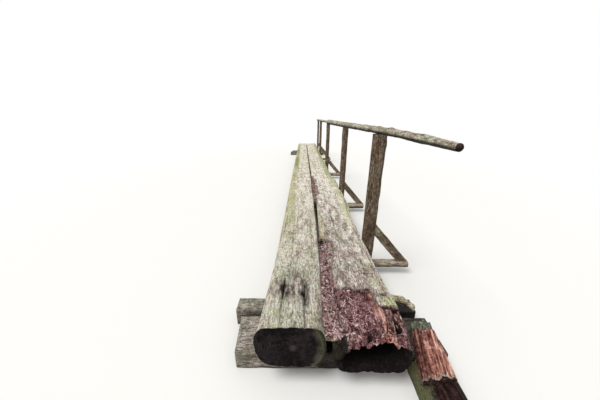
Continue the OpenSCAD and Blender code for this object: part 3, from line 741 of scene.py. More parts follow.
# Painted shade: the hollow is nearly black inside, and the rim round its mouth darkens below its top.
shaded_hollow = 0.98 + 0.02 * smooth(np.linspace(1, 0, len(hollow))[:, None], 0, 0.2)
parts = {
    "damp": (shaded_hollow, 1 - 0.9 * top_rim, np.clip(damp, 0, 1)),
    "rot": (1.0, 1.0, rot),
    "moss": (0.0, 0.0, moss),
    "warm": (0.0, top_rim * (0.25 + 0.7 * smooth(rim[:, 0], 0.30, 0.34)), warm),
    "litter": (0.0, 0.0, littered),
    "pale": (0.0, 0.0, pale),
    "cut": (0.0, 0.0, 0.0)}
shapes = (hollow.shape[:2], half_rim.shape[:2], x.shape)
marks = {mark: np.concatenate([np.broadcast_to(value, shape) for value, shape in zip(values, shapes)])
         for mark, values in parts.items()}
grid, marks = closed_ends(np.concatenate([hollow, half_rim, grid]), marks, False, {"cut": 0.7, "damp": 0.2})
right_log = skin("right_log_wood", grid, marks, right_log_wood, ["right_log"],
                 heart=(right_heart_x, heart_z))


# Branch stub
# A stout knobby stub left on the right log behind the tongue, bent down a little and sawn off.
# It is barkless wood with an old cut.
stub_points = np.array([(0.370, 0.132, 0.352), (0.455, 0.127, 0.360), (0.520, 0.122, 0.350),
                        (0.575, 0.116, 0.330), (0.607, 0.110, 0.310), (0.630, 0.106, 0.292)])
stub_radii = (0.035, 0.024, 0.020, 0.020, 0.023, 0.023)


def tube(points, radii, length_steps, sides):
    """Rings round a bent path, square to it."""
    at = np.linspace(0, len(points) - 1, length_steps)
    bend = np.stack([np.interp(at, np.arange(len(points)), points[:, k]) for k in range(3)], axis=1)
    for _ in range(6):
        bend[1:-1] = (bend[:-2] + 2 * bend[1:-1] + bend[2:]) / 4
    size = np.interp(at, np.arange(len(points)), radii)
    ahead = np.gradient(bend, axis=0)
    ahead /= np.linalg.norm(ahead, axis=1, keepdims=True)
    level = np.cross(ahead, (0.0, 0.0, 1.0))
    level /= np.linalg.norm(level, axis=1, keepdims=True)
    rise = np.cross(level, ahead)
    turn = np.linspace(0, 2 * math.pi, sides, endpoint=False)
    ring = level[:, None] * np.cos(turn)[:, None] + rise[:, None] * np.sin(turn)[:, None]
    return bend[:, None] + ring * size[:, None, None]


grid = tube(stub_points, stub_radii, 90, 56)
out = outward(grid)
knobs = 0.014 * np.maximum(rough(grid, 0.07, 71, 2), 0) + 0.0022 * rough(grid, 0.018, 72)
grid = grid + out * knobs[..., None]
# Painted light on the stub's upper side, and painted shade, nearly black, on its underside.
marks = {"cut": 0 * knobs, "moss": 0.12 + 0 * knobs, "pale": 0.6 * smooth(out[..., 2], -0.1, 0.5),
         "damp": 0.85 * smooth(out[..., 2], 0.15, -0.45)}
grid, marks = closed_ends(grid, marks, None, {"cut": 1.0, "damp": 0.0, "pale": 0.0, "moss": 0.0})
# Barkless branch wood: pale warm grey with a brown cut; its painted light above and painted shade below come
# from its marks
stub_wood = weathered_wood("barkless_branch", ("#4c4338", "#8a7f6e", "#b5aa99", "#ded5c6"), 0.30,
                           end=("#6b5a48", "#a8967c"))
skin("branch_stub", grid, marks, stub_wood, [],
     strands=(grid - stub_points[-1])[..., [1, 0, 2]])


# Split strip
# A long sliver that split off the right log's inner edge and dropped a little between the logs.
# Its torn face is pale and stringy.
strip_low, strip_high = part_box("split_strip")
strip_right_x = 0.050
# Torn softwood: yellowish grey and dull, with soft dark lines along it
strip_wood = weathered_wood("torn_sliver", ("#5d5447", "#908973", "#aea691", "#cec7b2"), 0.35)
rows_y = np.linspace(strip_low.y, strip_high.y, 190)
taper = (rows_y - strip_low.y) / (strip_high.y - strip_low.y)
strip_left_x = strip_low.x + 0.034 * taper
flank = np.array([[0.0, 0.0], [0.0, 0.5], [0.0, 1.0], [0.25, 1.0], [0.5, 1.0], [0.75, 1.0], [1.0, 1.0],
                  [0.93, 0.66], [0.82, 0.33], [0.7, 0.0], [0.35, 0.0]])
fine = np.linspace(0, len(flank), 52, endpoint=False)
closed = np.concatenate([flank, flank[:1]])
flank = np.stack([np.interp(fine, np.arange(len(closed)), closed[:, k]) for k in (0, 1)], axis=1)
grid = spots(strip_left_x[:, None] + (strip_right_x - strip_left_x)[:, None] * flank[:, 0], rows_y[:, None],
             strip_low.z + (strip_high.z - strip_low.z) * flank[:, 1] + 0 * rows_y[:, None])
out = outward(grid)
strings = 0.0030 * rough(grid, (0.008, 0.20, 0.008), 81) + 0.002 * rough(grid, (0.02, 0.06, 0.02), 82)
grid = grid + out * (strings - 0.001)[..., None]
grid[..., 1] += 0.03 * np.maximum(rough(grid * (1, 0, 1), 0.012, 83), 0) * smooth(taper[:, None], 0.06, 0.0)
marks = {"damp": 0.9 * smooth(grid[..., 2], 0.430, 0.405), "pale": 0.5 + 0 * strings,
         "moss": 0.08 + 0 * strings}
grid, marks = closed_ends(grid, marks)
skin("split_strip_wood", grid, marks, strip_wood, ["split_strip"])


# Litter between the logs
# Crumbled rot, needles and bark chips have packed the seam between the logs and lie on the rotten wood.
# The crumbs are dark red-brown, and the chips bleach to pale pinkish grey.

# Crumbled brown rot: lumpy and dull, dark red-brown with paler grey crumbs
crumb_wood = weathered_wood("packed_crumbs", ("#54403e", "#947c79", "#bba6a2", "#e2d2cc"), 0.0, bump=0.004)
beds = []
for bed, start, end, left, right, top in (
        ("near", near_y + 0.03, 0.90, -0.062, 0.060, deck_z - 0.046),
        ("far", 2.02, 3.55, -0.020, 0.070, deck_z - 0.036)):
    rows_y = np.arange(start, end, 0.006)
    turn = np.linspace(0, 2 * math.pi, 48, endpoint=False)
    heaped = smooth(rows_y, start, start + 0.10) * smooth(rows_y, end, end - 0.25)
    across = (left + right) / 2 + (right - left) / 2 * np.cos(turn)
    height = top - 0.030 + 0.030 * np.sin(turn) * np.where(np.sin(turn) > 0, heaped[:, None], 1.0)
    grid = spots(across, rows_y[:, None], height)
    heap = 0.007 * rough(grid, 0.045, 301) + 0.004 * rough(grid, 0.014, 302)
    grid = grid + outward(grid) * (heap * (np.sin(turn) > 0))[..., None]
    marks = {"rot": np.clip(0.15 + 0.7 * rough(grid, 0.05, 304), 0, 1),
             "litter": 1.4 * (np.sin(turn) > 0.2) + 0 * heap,
             "damp": 0.15 * np.clip(0.5 + rough(grid, 0.03, 303), 0, 1)}
    grid, marks = closed_ends(grid, marks)
    beds.append(skin("crumb_bed_" + bed, grid, marks, crumb_wood, []))


def new_geometry_tree(name, inputs, output):
    """An empty geometry tree, and the sockets of its named inputs, each given with its kind."""
    tree = bpy.data.node_groups.new(name, "GeometryNodeTree")
    for key, kind in inputs.items():
        tree.interface.new_socket(key, in_out="INPUT", socket_type="NodeSocket" + kind)
    tree.interface.new_socket(output, in_out="OUTPUT", socket_type="NodeSocketGeometry")
    return tree, add_node(tree, "NodeGroupInput").outputs


def litter_tree():
    """Geometry nodes that strew thin chips and needles over the parts of a surface marked for litter."""
    tree, given = new_geometry_tree("strewn_litter", {
        "Surface": "Geometry", "Density": "Float", "Seed": "Int", "Needle Share": "Float",
        "Litter": "Material"}, "Strewn")
    marked = add_node(tree, "GeometryNodeInputNamedAttribute", {"Name": "litter"}, data_type="FLOAT")
    density = add_node(tree, "ShaderNodeMath", {0: marked.outputs[0], 1: given["Density"]},
                       operation="MULTIPLY")
    points = add_node(tree, "GeometryNodeDistributePointsOnFaces", {
        "Mesh": given["Surface"], "Density": density.outputs[0], "Seed": given["Seed"]})
    chosen = {}
    for choice, least, most, seed in (
            ("chip", (0.003, 0.012, 0.0010), (0.007, 0.042, 0.0026), 5),
            ("needle", (0.0015, 0.022, 0.0012), (0.0028, 0.060, 0.0018), 6),
            ("lean", (-0.22, -0.22, 0.0), (0.22, 0.22, 6.283), 7)):
        chosen[choice] = add_node(tree, "FunctionNodeRandomValue", {
            "Min": least, "Max": most, "Seed": seed}, data_type="FLOAT_VECTOR").outputs["Value"]
    chance = add_node(tree, "FunctionNodeRandomValue", {"Seed": 3}, data_type="FLOAT").outputs[1]
    is_needle = add_node(tree, "FunctionNodeCompare", {0: chance, 1: given["Needle Share"]},
                         operation="LESS_THAN").outputs[0]
    size = add_node(tree, "GeometryNodeSwitch", {0: is_needle, 1: chosen["chip"], 2: chosen["needle"]},
                    input_type="VECTOR").outputs[0]
    lean = add_node(tree, "FunctionNodeEulerToRotation", {0: chosen["lean"]})
    turned = add_node(tree, "FunctionNodeRotateRotation", {
        0: points.outputs["Rotation"], 1: lean.outputs[0]}, rotation_space="LOCAL")
    flake = add_node(tree, "GeometryNodeMeshCube", {"Size": (1.0, 1.0, 1.0)})
    strewn = add_node(tree, "GeometryNodeInstanceOnPoints", {
        "Points": points.outputs["Points"], "Instance": flake.outputs[0], "Rotation": turned.outputs[0],
        "Scale": size})
    tint = add_node(tree, "FunctionNodeRandomValue", {"Seed": 9}, data_type="FLOAT").outputs[1]
    strewn = add_node(tree, "GeometryNodeStoreNamedAttribute", {
        "Geometry": strewn.outputs[0], "Name": "tint", "Value": tint}, data_type="FLOAT", domain="INSTANCE")
    strewn = add_node(tree, "GeometryNodeRealizeInstances", {"Geometry": strewn.outputs[0]})
    strewn = add_node(tree, "GeometryNodeSetMaterial", {
        "Geometry": strewn.outputs[0], "Material": given["Litter"]})
    add_node(tree, "NodeGroupOutput", {"Strewn": strewn.outputs[0]})
    return tree


def grown_mesh(name, tree, inputs, base=None):
    """The plain mesh that a tree makes from named inputs, on an empty mesh or a given one."""
    holder = bpy.data.objects.new(name + "_holder", base or bpy.data.meshes.new(name + "_holder"))
    bpy.context.scene.collection.objects.link(holder)
    modifier = holder.modifiers.new("grow", "NODES")
    modifier.node_group = tree
    sockets = {item.name: item.identifier for item in tree.interface.items_tree if item.in_out == "INPUT"}
    for key, value in inputs.items():
        modifier[sockets[key]] = value
    holder.update_tag()
    shown = holder.evaluated_get(bpy.context.evaluated_depsgraph_get())
    mesh = bpy.data.meshes.new_from_object(shown)
    holder.modifiers.remove(modifier)
    bpy.data.objects.remove(holder)
    mesh.name = name
    return mesh


# Dry needles, bark and wood chips: matt, from near black to bleached violet brown, with a few orange ones
chips_and_needles, tree = new_material("bleached_chips_and_needles")
tint = add_node(tree, "ShaderNodeAttribute", attribute_name="tint").outputs["Fac"]
chip_colour = add_node(tree, "ShaderNodeValToRGB", {"Fac": tint}, ramp=[
    (0.0, "#12070a"), (0.34, "#573638"), (0.68, "#a37d7a"), (0.86, "#d6b8b4"), (0.95, "#f6ece8"),
    (1.0, "#b0705a")]).outputs[0]
finish = add_node(tree, "ShaderNodeBsdfPrincipled", {
    "Base Color": chip_colour, "Roughness": 0.85, "Specular IOR Level": 0.2})
add_node(tree, "ShaderNodeOutputMaterial", {"Surface": finish.outputs[0]})
strewing = litter_tree()
for number, (surface, density) in enumerate(((right_log, 9000.0), (beds[0], 12000.0), (beds[1], 8000.0))):
    name = "strewn_litter_%d" % number
    mesh = grown_mesh(name, strewing, {
        "Density": density, "Seed": 5 + number, "Needle Share": 0.35, "Litter": chips_and_needles},
        surface.data.copy())
    finished(name, mesh, None, [])


# Sills
# Two squared timbers under the logs at each end of the bridge: a wide one and, behind it, a narrower one.
# They are greyed, split along the grain and mossy, with their ends sawn a little askew.
def sawn_bar(near_corners, far_corners, length_steps, across_steps, worn, grain, seed):
    """Rings of a squared bar between two cut ends, each end four corners in order round it.
    worn is how far its edges are rounded, and grain sizes its raised fibres."""
    near_corners, far_corners = np.array(near_corners), np.array(far_corners)
    sides = np.linalg.norm(near_corners - np.roll(near_corners, -1, axis=0), axis=1)
    width, thick = sides[0], sides[1]
    turn = []
    for side, (length, other) in enumerate(((width, thick), (thick, width)) * 2):
        steps = max(3, int(across_steps * length / (width + thick)))
        edge = worn / length
        run = np.concatenate([[0.0, edge * 0.35], np.linspace(edge, 1 - edge, steps), [1 - edge * 0.35]])
        by_corner = (run < edge * 0.9) | (run > 1 - edge * 0.9)
        pull = np.where(run < edge * 0.3, 0.29, np.where(by_corner, 0.08, 0.0))
        turn.append(np.stack([side + 0 * run, run, pull * worn / other], axis=1))
    turn = np.concatenate(turn)
    unit = np.array([(0, 0), (1, 0), (1, 1), (0, 1)], float)
    a = unit[turn[:, 0].astype(int)]
    b = unit[(turn[:, 0].astype(int) + 1) % 4]
    flat = a + (b - a) * turn[:, 1:2]
    flat = 0.5 + (flat - 0.5) * (1 - 2 * turn[:, 2:3])
    u, v = flat[:, 0:1], flat[:, 1:2]
    rings = []
    for t in np.linspace(0, 1, length_steps):
        c = near_corners + (far_corners - near_corners) * t
        rings.append(c[0] * (1 - u) * (1 - v) + c[1] * u * (1 - v) + c[2] * u * v + c[3] * (1 - u) * v)
    grid = np.array(rings)
    out = outward(grid)
    lift = 0.0014 * rough(grid, grain, seed) + 0.0018 * rough(grid, 0.09, seed + 3, 2) - 0.0014
    return grid + out * lift[..., None], out


# Squared timber: cool mid grey and soft with age, with a green bloom on top
sill_wood = weathered_wood("squared_sill_timber", ("#524e4b", "#87827e", "#a8a39d", "#d2cdc6"), 0.30,
                           end=("#3a332c", "#5b5147"))
sill_skew = 0.025
for node in ("near_sill", "near_sill_back", "far_sill", "far_sill_back"):
    low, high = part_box(node)
    at_back, at_near = node.endswith("back"), node.startswith("near")
    askew = 0.0 if at_back else sill_skew
    outer_y, inner_y = (low.y, high.y) if at_near else (high.y, low.y)
    left_end, right_end = [
        [(outer_x, outer_y, low.z), (inner_x, inner_y, low.z), (inner_x, inner_y, high.z),
         (outer_x, outer_y, high.z)]
        for outer_x, inner_x in ((low.x + askew, low.x), (high.x, high.x - askew / 2))]
    seed = 90 + sum(map(ord, node)) % 37
    grid, out = sawn_bar(left_end, right_end, 140, 52, 0.010, (0.20, 0.010, 0.010), seed)
    draw = np.random.default_rng(seed)
    checked = smooth(out[..., 2], 0.5, 0.9) * drying_checks(grid[..., 1], grid[..., 0], random_checks(
        draw, 9, (low.y + 0.01, high.y - 0.01), (low.x - 0.2, high.x - 0.3), (0.003, 0.005),
        (0.006, 0.014)), seed)
    grid = grid - out * checked[..., None]
    grid[..., 2] = np.maximum(grid[..., 2], low.z)
    x, z = grid[..., 0], grid[..., 2]
    stain = np.clip(rough(grid, (0.25, 0.05, 0.05), seed + 8), 0, 1)
    # Darker in the checks, in stains, towards the bottom, across the middle under the logs and most under
    # their seam; painted shade on the near sills' right end, beside the log and under the branch stub.
    damp = np.maximum.reduce([
        np.clip(checked / 0.012, 0, 1), 0.5 * smooth(z, 0.06, 0.0) + 0.3 * stain,
        0.5 * smooth(abs(x + 0.01), 0.46, 0.40), 0.9 * smooth(abs(x), 0.10, 0.06),
        (0.9 if at_back else 0.75) * smooth(x, 0.40, 0.46) * at_near])
    moss = 0.20 * np.clip(rough(grid, 0.16, seed + 5), 0, 1) + (0.18 if at_back else 0.06)
    marks = {"moss": moss * smooth(out[..., 2], 0.0, 0.6), "damp": damp, "cut": 0 * damp}
    grid, marks = closed_ends(grid, marks, {"cut": 0.6}, {"cut": 0.6})
    skin(node + "_wood", grid, marks, sill_wood, [node], strands=(grid - low)[..., [1, 0, 2]])


# Braces
# A sawn bar slopes from the end of each cross pole up into a flat cut in its post.
# The sawn wood has weathered brown, with painted light on its upper faces and uneven painted shade on the
# others.
brace_width, brace_slope = 0.088, math.radians(49)
brace_rise = brace_width / math.cos(brace_slope)
# Sawn softwood: dull brown and streaky, with hardly any lichen
brace_wood = weathered_wood("sawn_brace_timber", ("#4c3c30", "#826f60", "#a59484", "#c9baa9"), 0.10,
                            end=("#3a2e25", "#5c4d40"))
for number in range(1, 6):
    low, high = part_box("brace_%d" % number)
    foot_inner = high.x - brace_rise / math.tan(brace_slope)
    foot = [(high.x, low.y, low.z), (foot_inner, low.y, low.z), (foot_inner, high.y, low.z),
            (high.x, high.y, low.z)]
    top = [(low.x, low.y, high.z), (low.x, low.y, high.z - brace_rise),
           (low.x, high.y, high.z - brace_rise), (low.x, high.y, high.z)]
    length_steps, across_steps = (90, 44) if number < 3 else (40, 26)
    grid, out = sawn_bar(foot, top, length_steps, across_steps, 0.004, (0.02, 0.008, 0.02), 130 + number)
    grid[..., 2] = np.maximum(grid[..., 2], low.z)
    # Painted light on the faces turned up, and painted shade, uneven, on the rest.
    faces_up = smooth(out[..., 2], 0.2, 0.6)
    stain = np.clip(0.24 + 0.30 * rough(grid, (0.06, 0.02, 0.06), 140 + number), 0, 1)
    marks = {"damp": stain * (1 - faces_up), "pale": 0.8 * faces_up}
    grid, marks = closed_ends(grid, marks)
    slope = np.array([(math.sin(brace_slope), 0.0, math.cos(brace_slope)),
                      (-math.cos(brace_slope), 0.0, math.sin(brace_slope)), (0.0, 1.0, 0.0)])
    skin("brace_%d_wood" % number, grid, marks, brace_wood, ["brace_%d" % number],
         strands=(grid - low) @ slope.T + (0.3 * number, 0.0, 0.0))


# Posts, cross poles and rails
# Round softwood poles, peeled of their bark. The posts and rails taper along their line, and each has lumps,
# knots and checks.
# The posts and cross poles have weathered brown, and the rails grey with lichen.
def peeled_pole_tree():
    """Geometry nodes that make one peeled pole from its ends, its radii and how knotty it is."""
    tree, given = new_geometry_tree("peeled_pole", {
        "Start": "Vector", "End": "Vector", "Start Radius": "Float", "End Radius": "Float", "Step": "Float",
        "Sides": "Int", "Grain": "Vector", "Knot Height": "Float", "Check Depth": "Float",
        "Place In Noise": "Vector", "Wood": "Material"}, "Pole")
    line = add_node(tree, "GeometryNodeCurvePrimitiveLine", {"Start": given["Start"], "End": given["End"]})
    line = add_node(tree, "GeometryNodeResampleCurve", {"Curve": line.outputs[0], "Length": given["Step"]},
                    mode="LENGTH")
    along = add_node(tree, "GeometryNodeSplineParameter").outputs["Factor"]
    size = add_node(tree, "ShaderNodeMix", {0: along, 2: given["Start Radius"], 3: given["End Radius"]})
    ring = add_node(tree, "GeometryNodeCurvePrimitiveCircle", {"Resolution": given["Sides"], "Radius": 1.0})
    pole = add_node(tree, "GeometryNodeCurveToMesh", {
        "Curve": line.outputs[0], "Profile Curve": ring.outputs[0], "Scale": size.outputs[0],
        "Fill Caps": True})

    # Soft lumps and fine fibres, each with its count to the metre and its height
    position = add_node(tree, "GeometryNodeInputPosition").outputs[0]
    moved = add_node(tree, "ShaderNodeVectorMath", {0: position, 1: given["Place In Noise"]},
                     operation="ADD").outputs[0]
    drawn = add_node(tree, "ShaderNodeVectorMath", {0: moved, 1: given["Grain"]},
                     operation="MULTIPLY").outputs[0]
    steps = []
    for vector, per_metre, height in ((moved, 7.0, 0.007), (drawn, 110.0, 0.0012)):
        pattern = add_node(tree, "ShaderNodeTexNoise", {
            "Vector": vector, "Scale": per_metre, "Detail": 1.0})
        relief = add_node(tree, "ShaderNodeMapRange", {
            "Value": pattern.outputs["Fac"], "To Min": -height, "To Max": height})
        steps.append(("ADD", relief.outputs[0]))

    # Knots stand out at the middles of cells, and checks sink in where a noise passes through its mean
    cells = add_node(tree, "ShaderNodeTexVoronoi", {"Vector": moved, "Scale": 3.4}).outputs["Distance"]
    pattern = add_node(tree, "ShaderNodeTexNoise", {"Vector": drawn, "Scale": 22.0, "Detail": 1.0})
    from_mean = add_node(tree, "ShaderNodeMath", {0: pattern.outputs["Fac"], 1: 0.5}, operation="SUBTRACT")
    from_mean = add_node(tree, "ShaderNodeMath", {0: from_mean.outputs[0]}, operation="ABSOLUTE").outputs[0]
    for operation, distance, width, reach in (
            ("ADD", cells, 0.22, given["Knot Height"]),
            ("SUBTRACT", from_mean, 0.014, given["Check Depth"])):
        inside = add_node(tree, "ShaderNodeMapRange", {
            "Value": distance, "From Max": width, "To Min": 1.0, "To Max": 0.0},
            interpolation_type="SMOOTHSTEP").outputs[0]
        height = add_node(tree, "ShaderNodeMath", {0: inside, 1: reach}, operation="MULTIPLY")
        steps.append((operation, height.outputs[0]))

    # All of them move the surface along its normal. The checks come last in the loop and are darker inside
    lift = steps[0][1]
    for operation, height in steps[1:]:
        lift = add_node(tree, "ShaderNodeMath", {0: lift, 1: height}, operation=operation).outputs[0]
    normal = add_node(tree, "GeometryNodeInputNormal").outputs[0]
    offset = add_node(tree, "ShaderNodeVectorMath", {0: normal, "Scale": lift}, operation="SCALE")
    damp = add_node(tree, "ShaderNodeMath", {0: inside, 1: 0.7}, operation="MULTIPLY").outputs[0]
    pole = add_node(tree, "GeometryNodeStoreNamedAttribute", {
        "Geometry": pole.outputs[0], "Name": "damp", "Value": damp}, data_type="FLOAT", domain="POINT")
    pole = add_node(tree, "GeometryNodeSetPosition", {
        "Geometry": pole.outputs[0], "Offset": offset.outputs[0]})
    pole = add_node(tree, "GeometryNodeRealizeInstances", {"Geometry": pole.outputs[0]})
    pole = add_node(tree, "GeometryNodeSetMaterial", {
        "Geometry": pole.outputs[0], "Material": given["Wood"]})
    add_node(tree, "NodeGroupOutput", {"Pole": pole.outputs[0]})
    return tree


def peeled_pole(name, start, end, radii, step, sides, knots, checks, seed, wood, fit):
    """Grows one pole, then fit moves its points to cut its laps, seats and flats."""
    lengthwise = int(np.argmax(np.abs(np.subtract(end, start))))
    grain = [1.0, 1.0, 1.0]
    grain[lengthwise] = 0.05
    mesh = grown_mesh(name + "_wood", pole_tree, {
        "Start": start, "End": end, "Start Radius": radii[0], "End Radius": radii[1], "Step": step,
        "Sides": sides, "Grain": grain, "Knot Height": knots, "Check Depth": checks,
        "Place In Noise": (3.7 * seed, 1.9 * seed, 5.3 * seed), "Wood": wood})
    points = np.zeros(len(mesh.vertices) * 3)
    mesh.vertices.foreach_get("co", points)
    points = fit(points.reshape(-1, 3))
    mesh.vertices.foreach_set("co", points.ravel())
    across = [axis for axis in range(3) if axis != lengthwise]
    strands = (points - start)[:, [across[0], lengthwise, across[1]]] + (0.0, seed * 1.3, 0.0)
    facing, damp = np.zeros(points.size), np.zeros(len(points))
    mesh.vertices.foreach_get("normal", facing)
    mesh.attributes["damp"].data.foreach_get("value", damp)
    # Painted shade: level poles darken on their undersides, and every pole darkens on its side turned away
    # from the lamp.
    damp = np.maximum(damp, 0.92 * smooth(facing[2::3], 0.30, -0.45) * (lengthwise < 2))
    damp = np.maximum(damp, 0.30 * smooth(facing[0::3], 0.1, 0.9))
    mesh.attributes["damp"].data.foreach_set("value", damp)
    mesh.attributes.new("strand", "FLOAT_VECTOR", "POINT").data.foreach_set("vector", strands.ravel())
    ends = [1.0 if len(face.vertices) > 4 else 0.0 for face in mesh.polygons]
    mesh.attributes.new("cut", "FLOAT", "FACE").data.foreach_set("value", ends)
    mesh.shade_smooth()
    mesh.set_sharp_from_angle(angle=math.radians(55))
    mesh.update()
    return finished(name + "_wood", mesh, None, [name])


pole_tree = peeled_pole_tree()
brown_end = ("#2d241d", "#4a3d32")
# Peeled poles, all matt: the posts dull dark brown, the cross poles paler, the rails silvery with lichen
post_wood = weathered_wood("peeled_post_pole", ("#3d3128", "#5f5044", "#77685b", "#b3a394"), 0.10,
                           flecks=0.15, end=brown_end)
pole_wood = weathered_wood("peeled_cross_pole", ("#68584d", "#a5968a", "#cbbcb0", "#f0e4da"), 0.20,
                           flecks=0.3, end=brown_end)
rail_wood = weathered_wood("peeled_rail_pole", ("#625a4d", "#a49d90", "#c8c2b6", "#ebe7de"), 0.45,
                           flecks=0.05, end=brown_end)
sill_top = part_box("near_sill")[1].z
rail_axis_z = deck_z + 1.038
rail_seat_cut = 0.006
rail_butt_radius = 0.056
lap_clearance = 0.0003
pole_flat = 0.010
post_places = []
for number in range(1, 6):
    low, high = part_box("post_%d" % number)
    brace_low, brace_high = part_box("brace_%d" % number)
    place_x, place_y, size = (low.x + high.x) / 2, (brace_low.y + brace_high.y) / 2, high.x - low.x
    post_places.append((place_x, place_y, size))
    near = number < 3
    near_seat = rail_axis_z - rail_butt_radius + rail_seat_cut if number == 3 else high.z

    def fit_post(points, low=low, high=high, place_y=place_y, flat_x=brace_low.x, flat_top=brace_high.z,
                 near_seat=near_seat):
        """Cuts the lap over the cross pole, the flat for the brace and the rail's seat."""
        below = points[:, 2] < sill_top
        points[below, 1] = np.maximum(points[below, 1], place_y + lap_clearance)
        at_flat = (points[:, 2] < flat_top) & (points[:, 2] > flat_top - brace_rise)
        points[at_flat, 0] = np.minimum(points[at_flat, 0], flat_x)
        near_half = points[:, 1] < place_y
        points[near_half, 2] = np.minimum(points[near_half, 2], near_seat)
        points[:, 2] = np.clip(points[:, 2], low.z, high.z)
        return points

    peeled_pole("post_%d" % number, (place_x, place_y, low.z), (place_x, place_y, high.z),
                (size / 2 - 0.001, size * 0.475), 0.008 if near else 0.018, 60 if near else 36,
                0.006, 0.005, 11 + number, post_wood, fit_post)

    pole_low, pole_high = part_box("cross_pole_%d" % number)
    pole_radius = (pole_high.z - pole_low.z + pole_flat) / 2
    pole_z = pole_low.z + pole_radius

    def fit_pole(points, top=pole_high.z, place_x=place_x, place_y=place_y, lap=size / 2 + lap_clearance):
        """Hews the pole's flat top and cuts the lap for the post."""
        points[:, 2] = np.minimum(points[:, 2], top)
        at_lap = abs(points[:, 0] - place_x) < lap
        points[at_lap, 1] = np.minimum(points[at_lap, 1], place_y)
        return points

    peeled_pole("cross_pole_%d" % number, (pole_low.x, place_y, pole_z),
                (pole_high.x - 0.004, place_y, pole_z), (pole_radius, pole_radius),
                0.010 if near else 0.02, 40 if near else 28,
                0.004, 0.004, 31 + number, pole_wood, fit_pole)


# Handrail
# Two knotty poles laid end to end on the posts' seats, meeting over the third post.
# The near one is a natural pole: thin at its free end, which droops, and thick at its butt.
rail_mid_x, rail_swing, rail_droop, rail_sway = 0.490, 0.028, 0.014, 0.006
rail_check_depth = 0.0025
near_rail_low, near_rail_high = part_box("handrail_near")
far_rail_low, far_rail_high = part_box("handrail_far")
near_rail_sizes, far_rail_sizes = (0.050, 0.112), (0.062, 0.074)


def seats_under(points, posts, sizes, start_y, end_y):
    """Cuts a flat under the rail at each post."""
    for place_x, place_y, size in posts:
        rail_size = sizes[0] + (sizes[1] - sizes[0]) * (place_y - start_y) / (end_y - start_y)
        seat = rail_axis_z - rail_size / 2 + rail_seat_cut
        over = abs(points[:, 1] - place_y) < size / 2 + 0.004
        points[over, 2] = np.maximum(points[over, 2], seat)
    return points


def fit_near_rail(points):
    """Sways and droops the near rail as it lies, then seats it."""
    u = (points[:, 1] - near_rail_low.y) / (near_rail_high.y - near_rail_low.y)
    points[:, 0] += rail_sway * np.sin(np.radians(400 * u))
    ahead = np.clip((post_places[0][1] - points[:, 1]) / (post_places[0][1] - near_rail_low.y), 0, 1)
    points[:, 2] -= rail_droop * ahead ** 2
    middle = np.array((rail_mid_x + rail_swing, 0.0, rail_axis_z - rail_droop))
    thinned = 0.20 * smooth(points[:, 1:2], near_rail_low.y + 0.34, near_rail_low.y + 0.05)
    points = points + (middle - points) * (1, 0, 1) * thinned
    return seats_under(points, post_places[:3], near_rail_sizes, near_rail_low.y, near_rail_high.y)


def fit_far_rail(points):
    """Sways the far rail as it lies, then seats it."""
    u = (points[:, 1] - far_rail_low.y) / (far_rail_high.y - far_rail_low.y)
    points[:, 0] += rail_sway / 2 * np.sin(np.radians(400 * u))
    return seats_under(points, post_places[2:], far_rail_sizes, far_rail_low.y, far_rail_high.y)


for node, start_x, (rail_low, rail_high), sizes, step, sides, knots, seed, fit in (
        ("handrail_near", rail_mid_x + rail_swing, (near_rail_low, near_rail_high), near_rail_sizes,
         0.007, 48, 0.008, 47, fit_near_rail),
        ("handrail_far", rail_mid_x, (far_rail_low, far_rail_high), far_rail_sizes,
         0.018, 28, 0.007, 53, fit_far_rail)):
    peeled_pole(node, (start_x, rail_low.y, rail_axis_z), (rail_mid_x, rail_high.y, rail_axis_z),
                (sizes[0] / 2, sizes[1] / 2), step, sides, knots, rail_check_depth, seed, rail_wood,
                fit)


# Fallen pieces
# A slab and a chunk that broke off the right log's rotten end and lie beside it.
# The inside is stringy orange-red brown rot with dark splits, and the slab keeps some grey-green skin.

# Brown-rotted softwood: bright stringy orange-red fibres between dark splits
slab_wood = weathered_wood("brown_rotted_wood", ("#3c3f3c", "#5c605b", "#777c76", "#9ba098"), 0.15,
                           rot=("#2a1110", "#6e4038", "#a06c5f", "#dcae9c"), stringy=True)


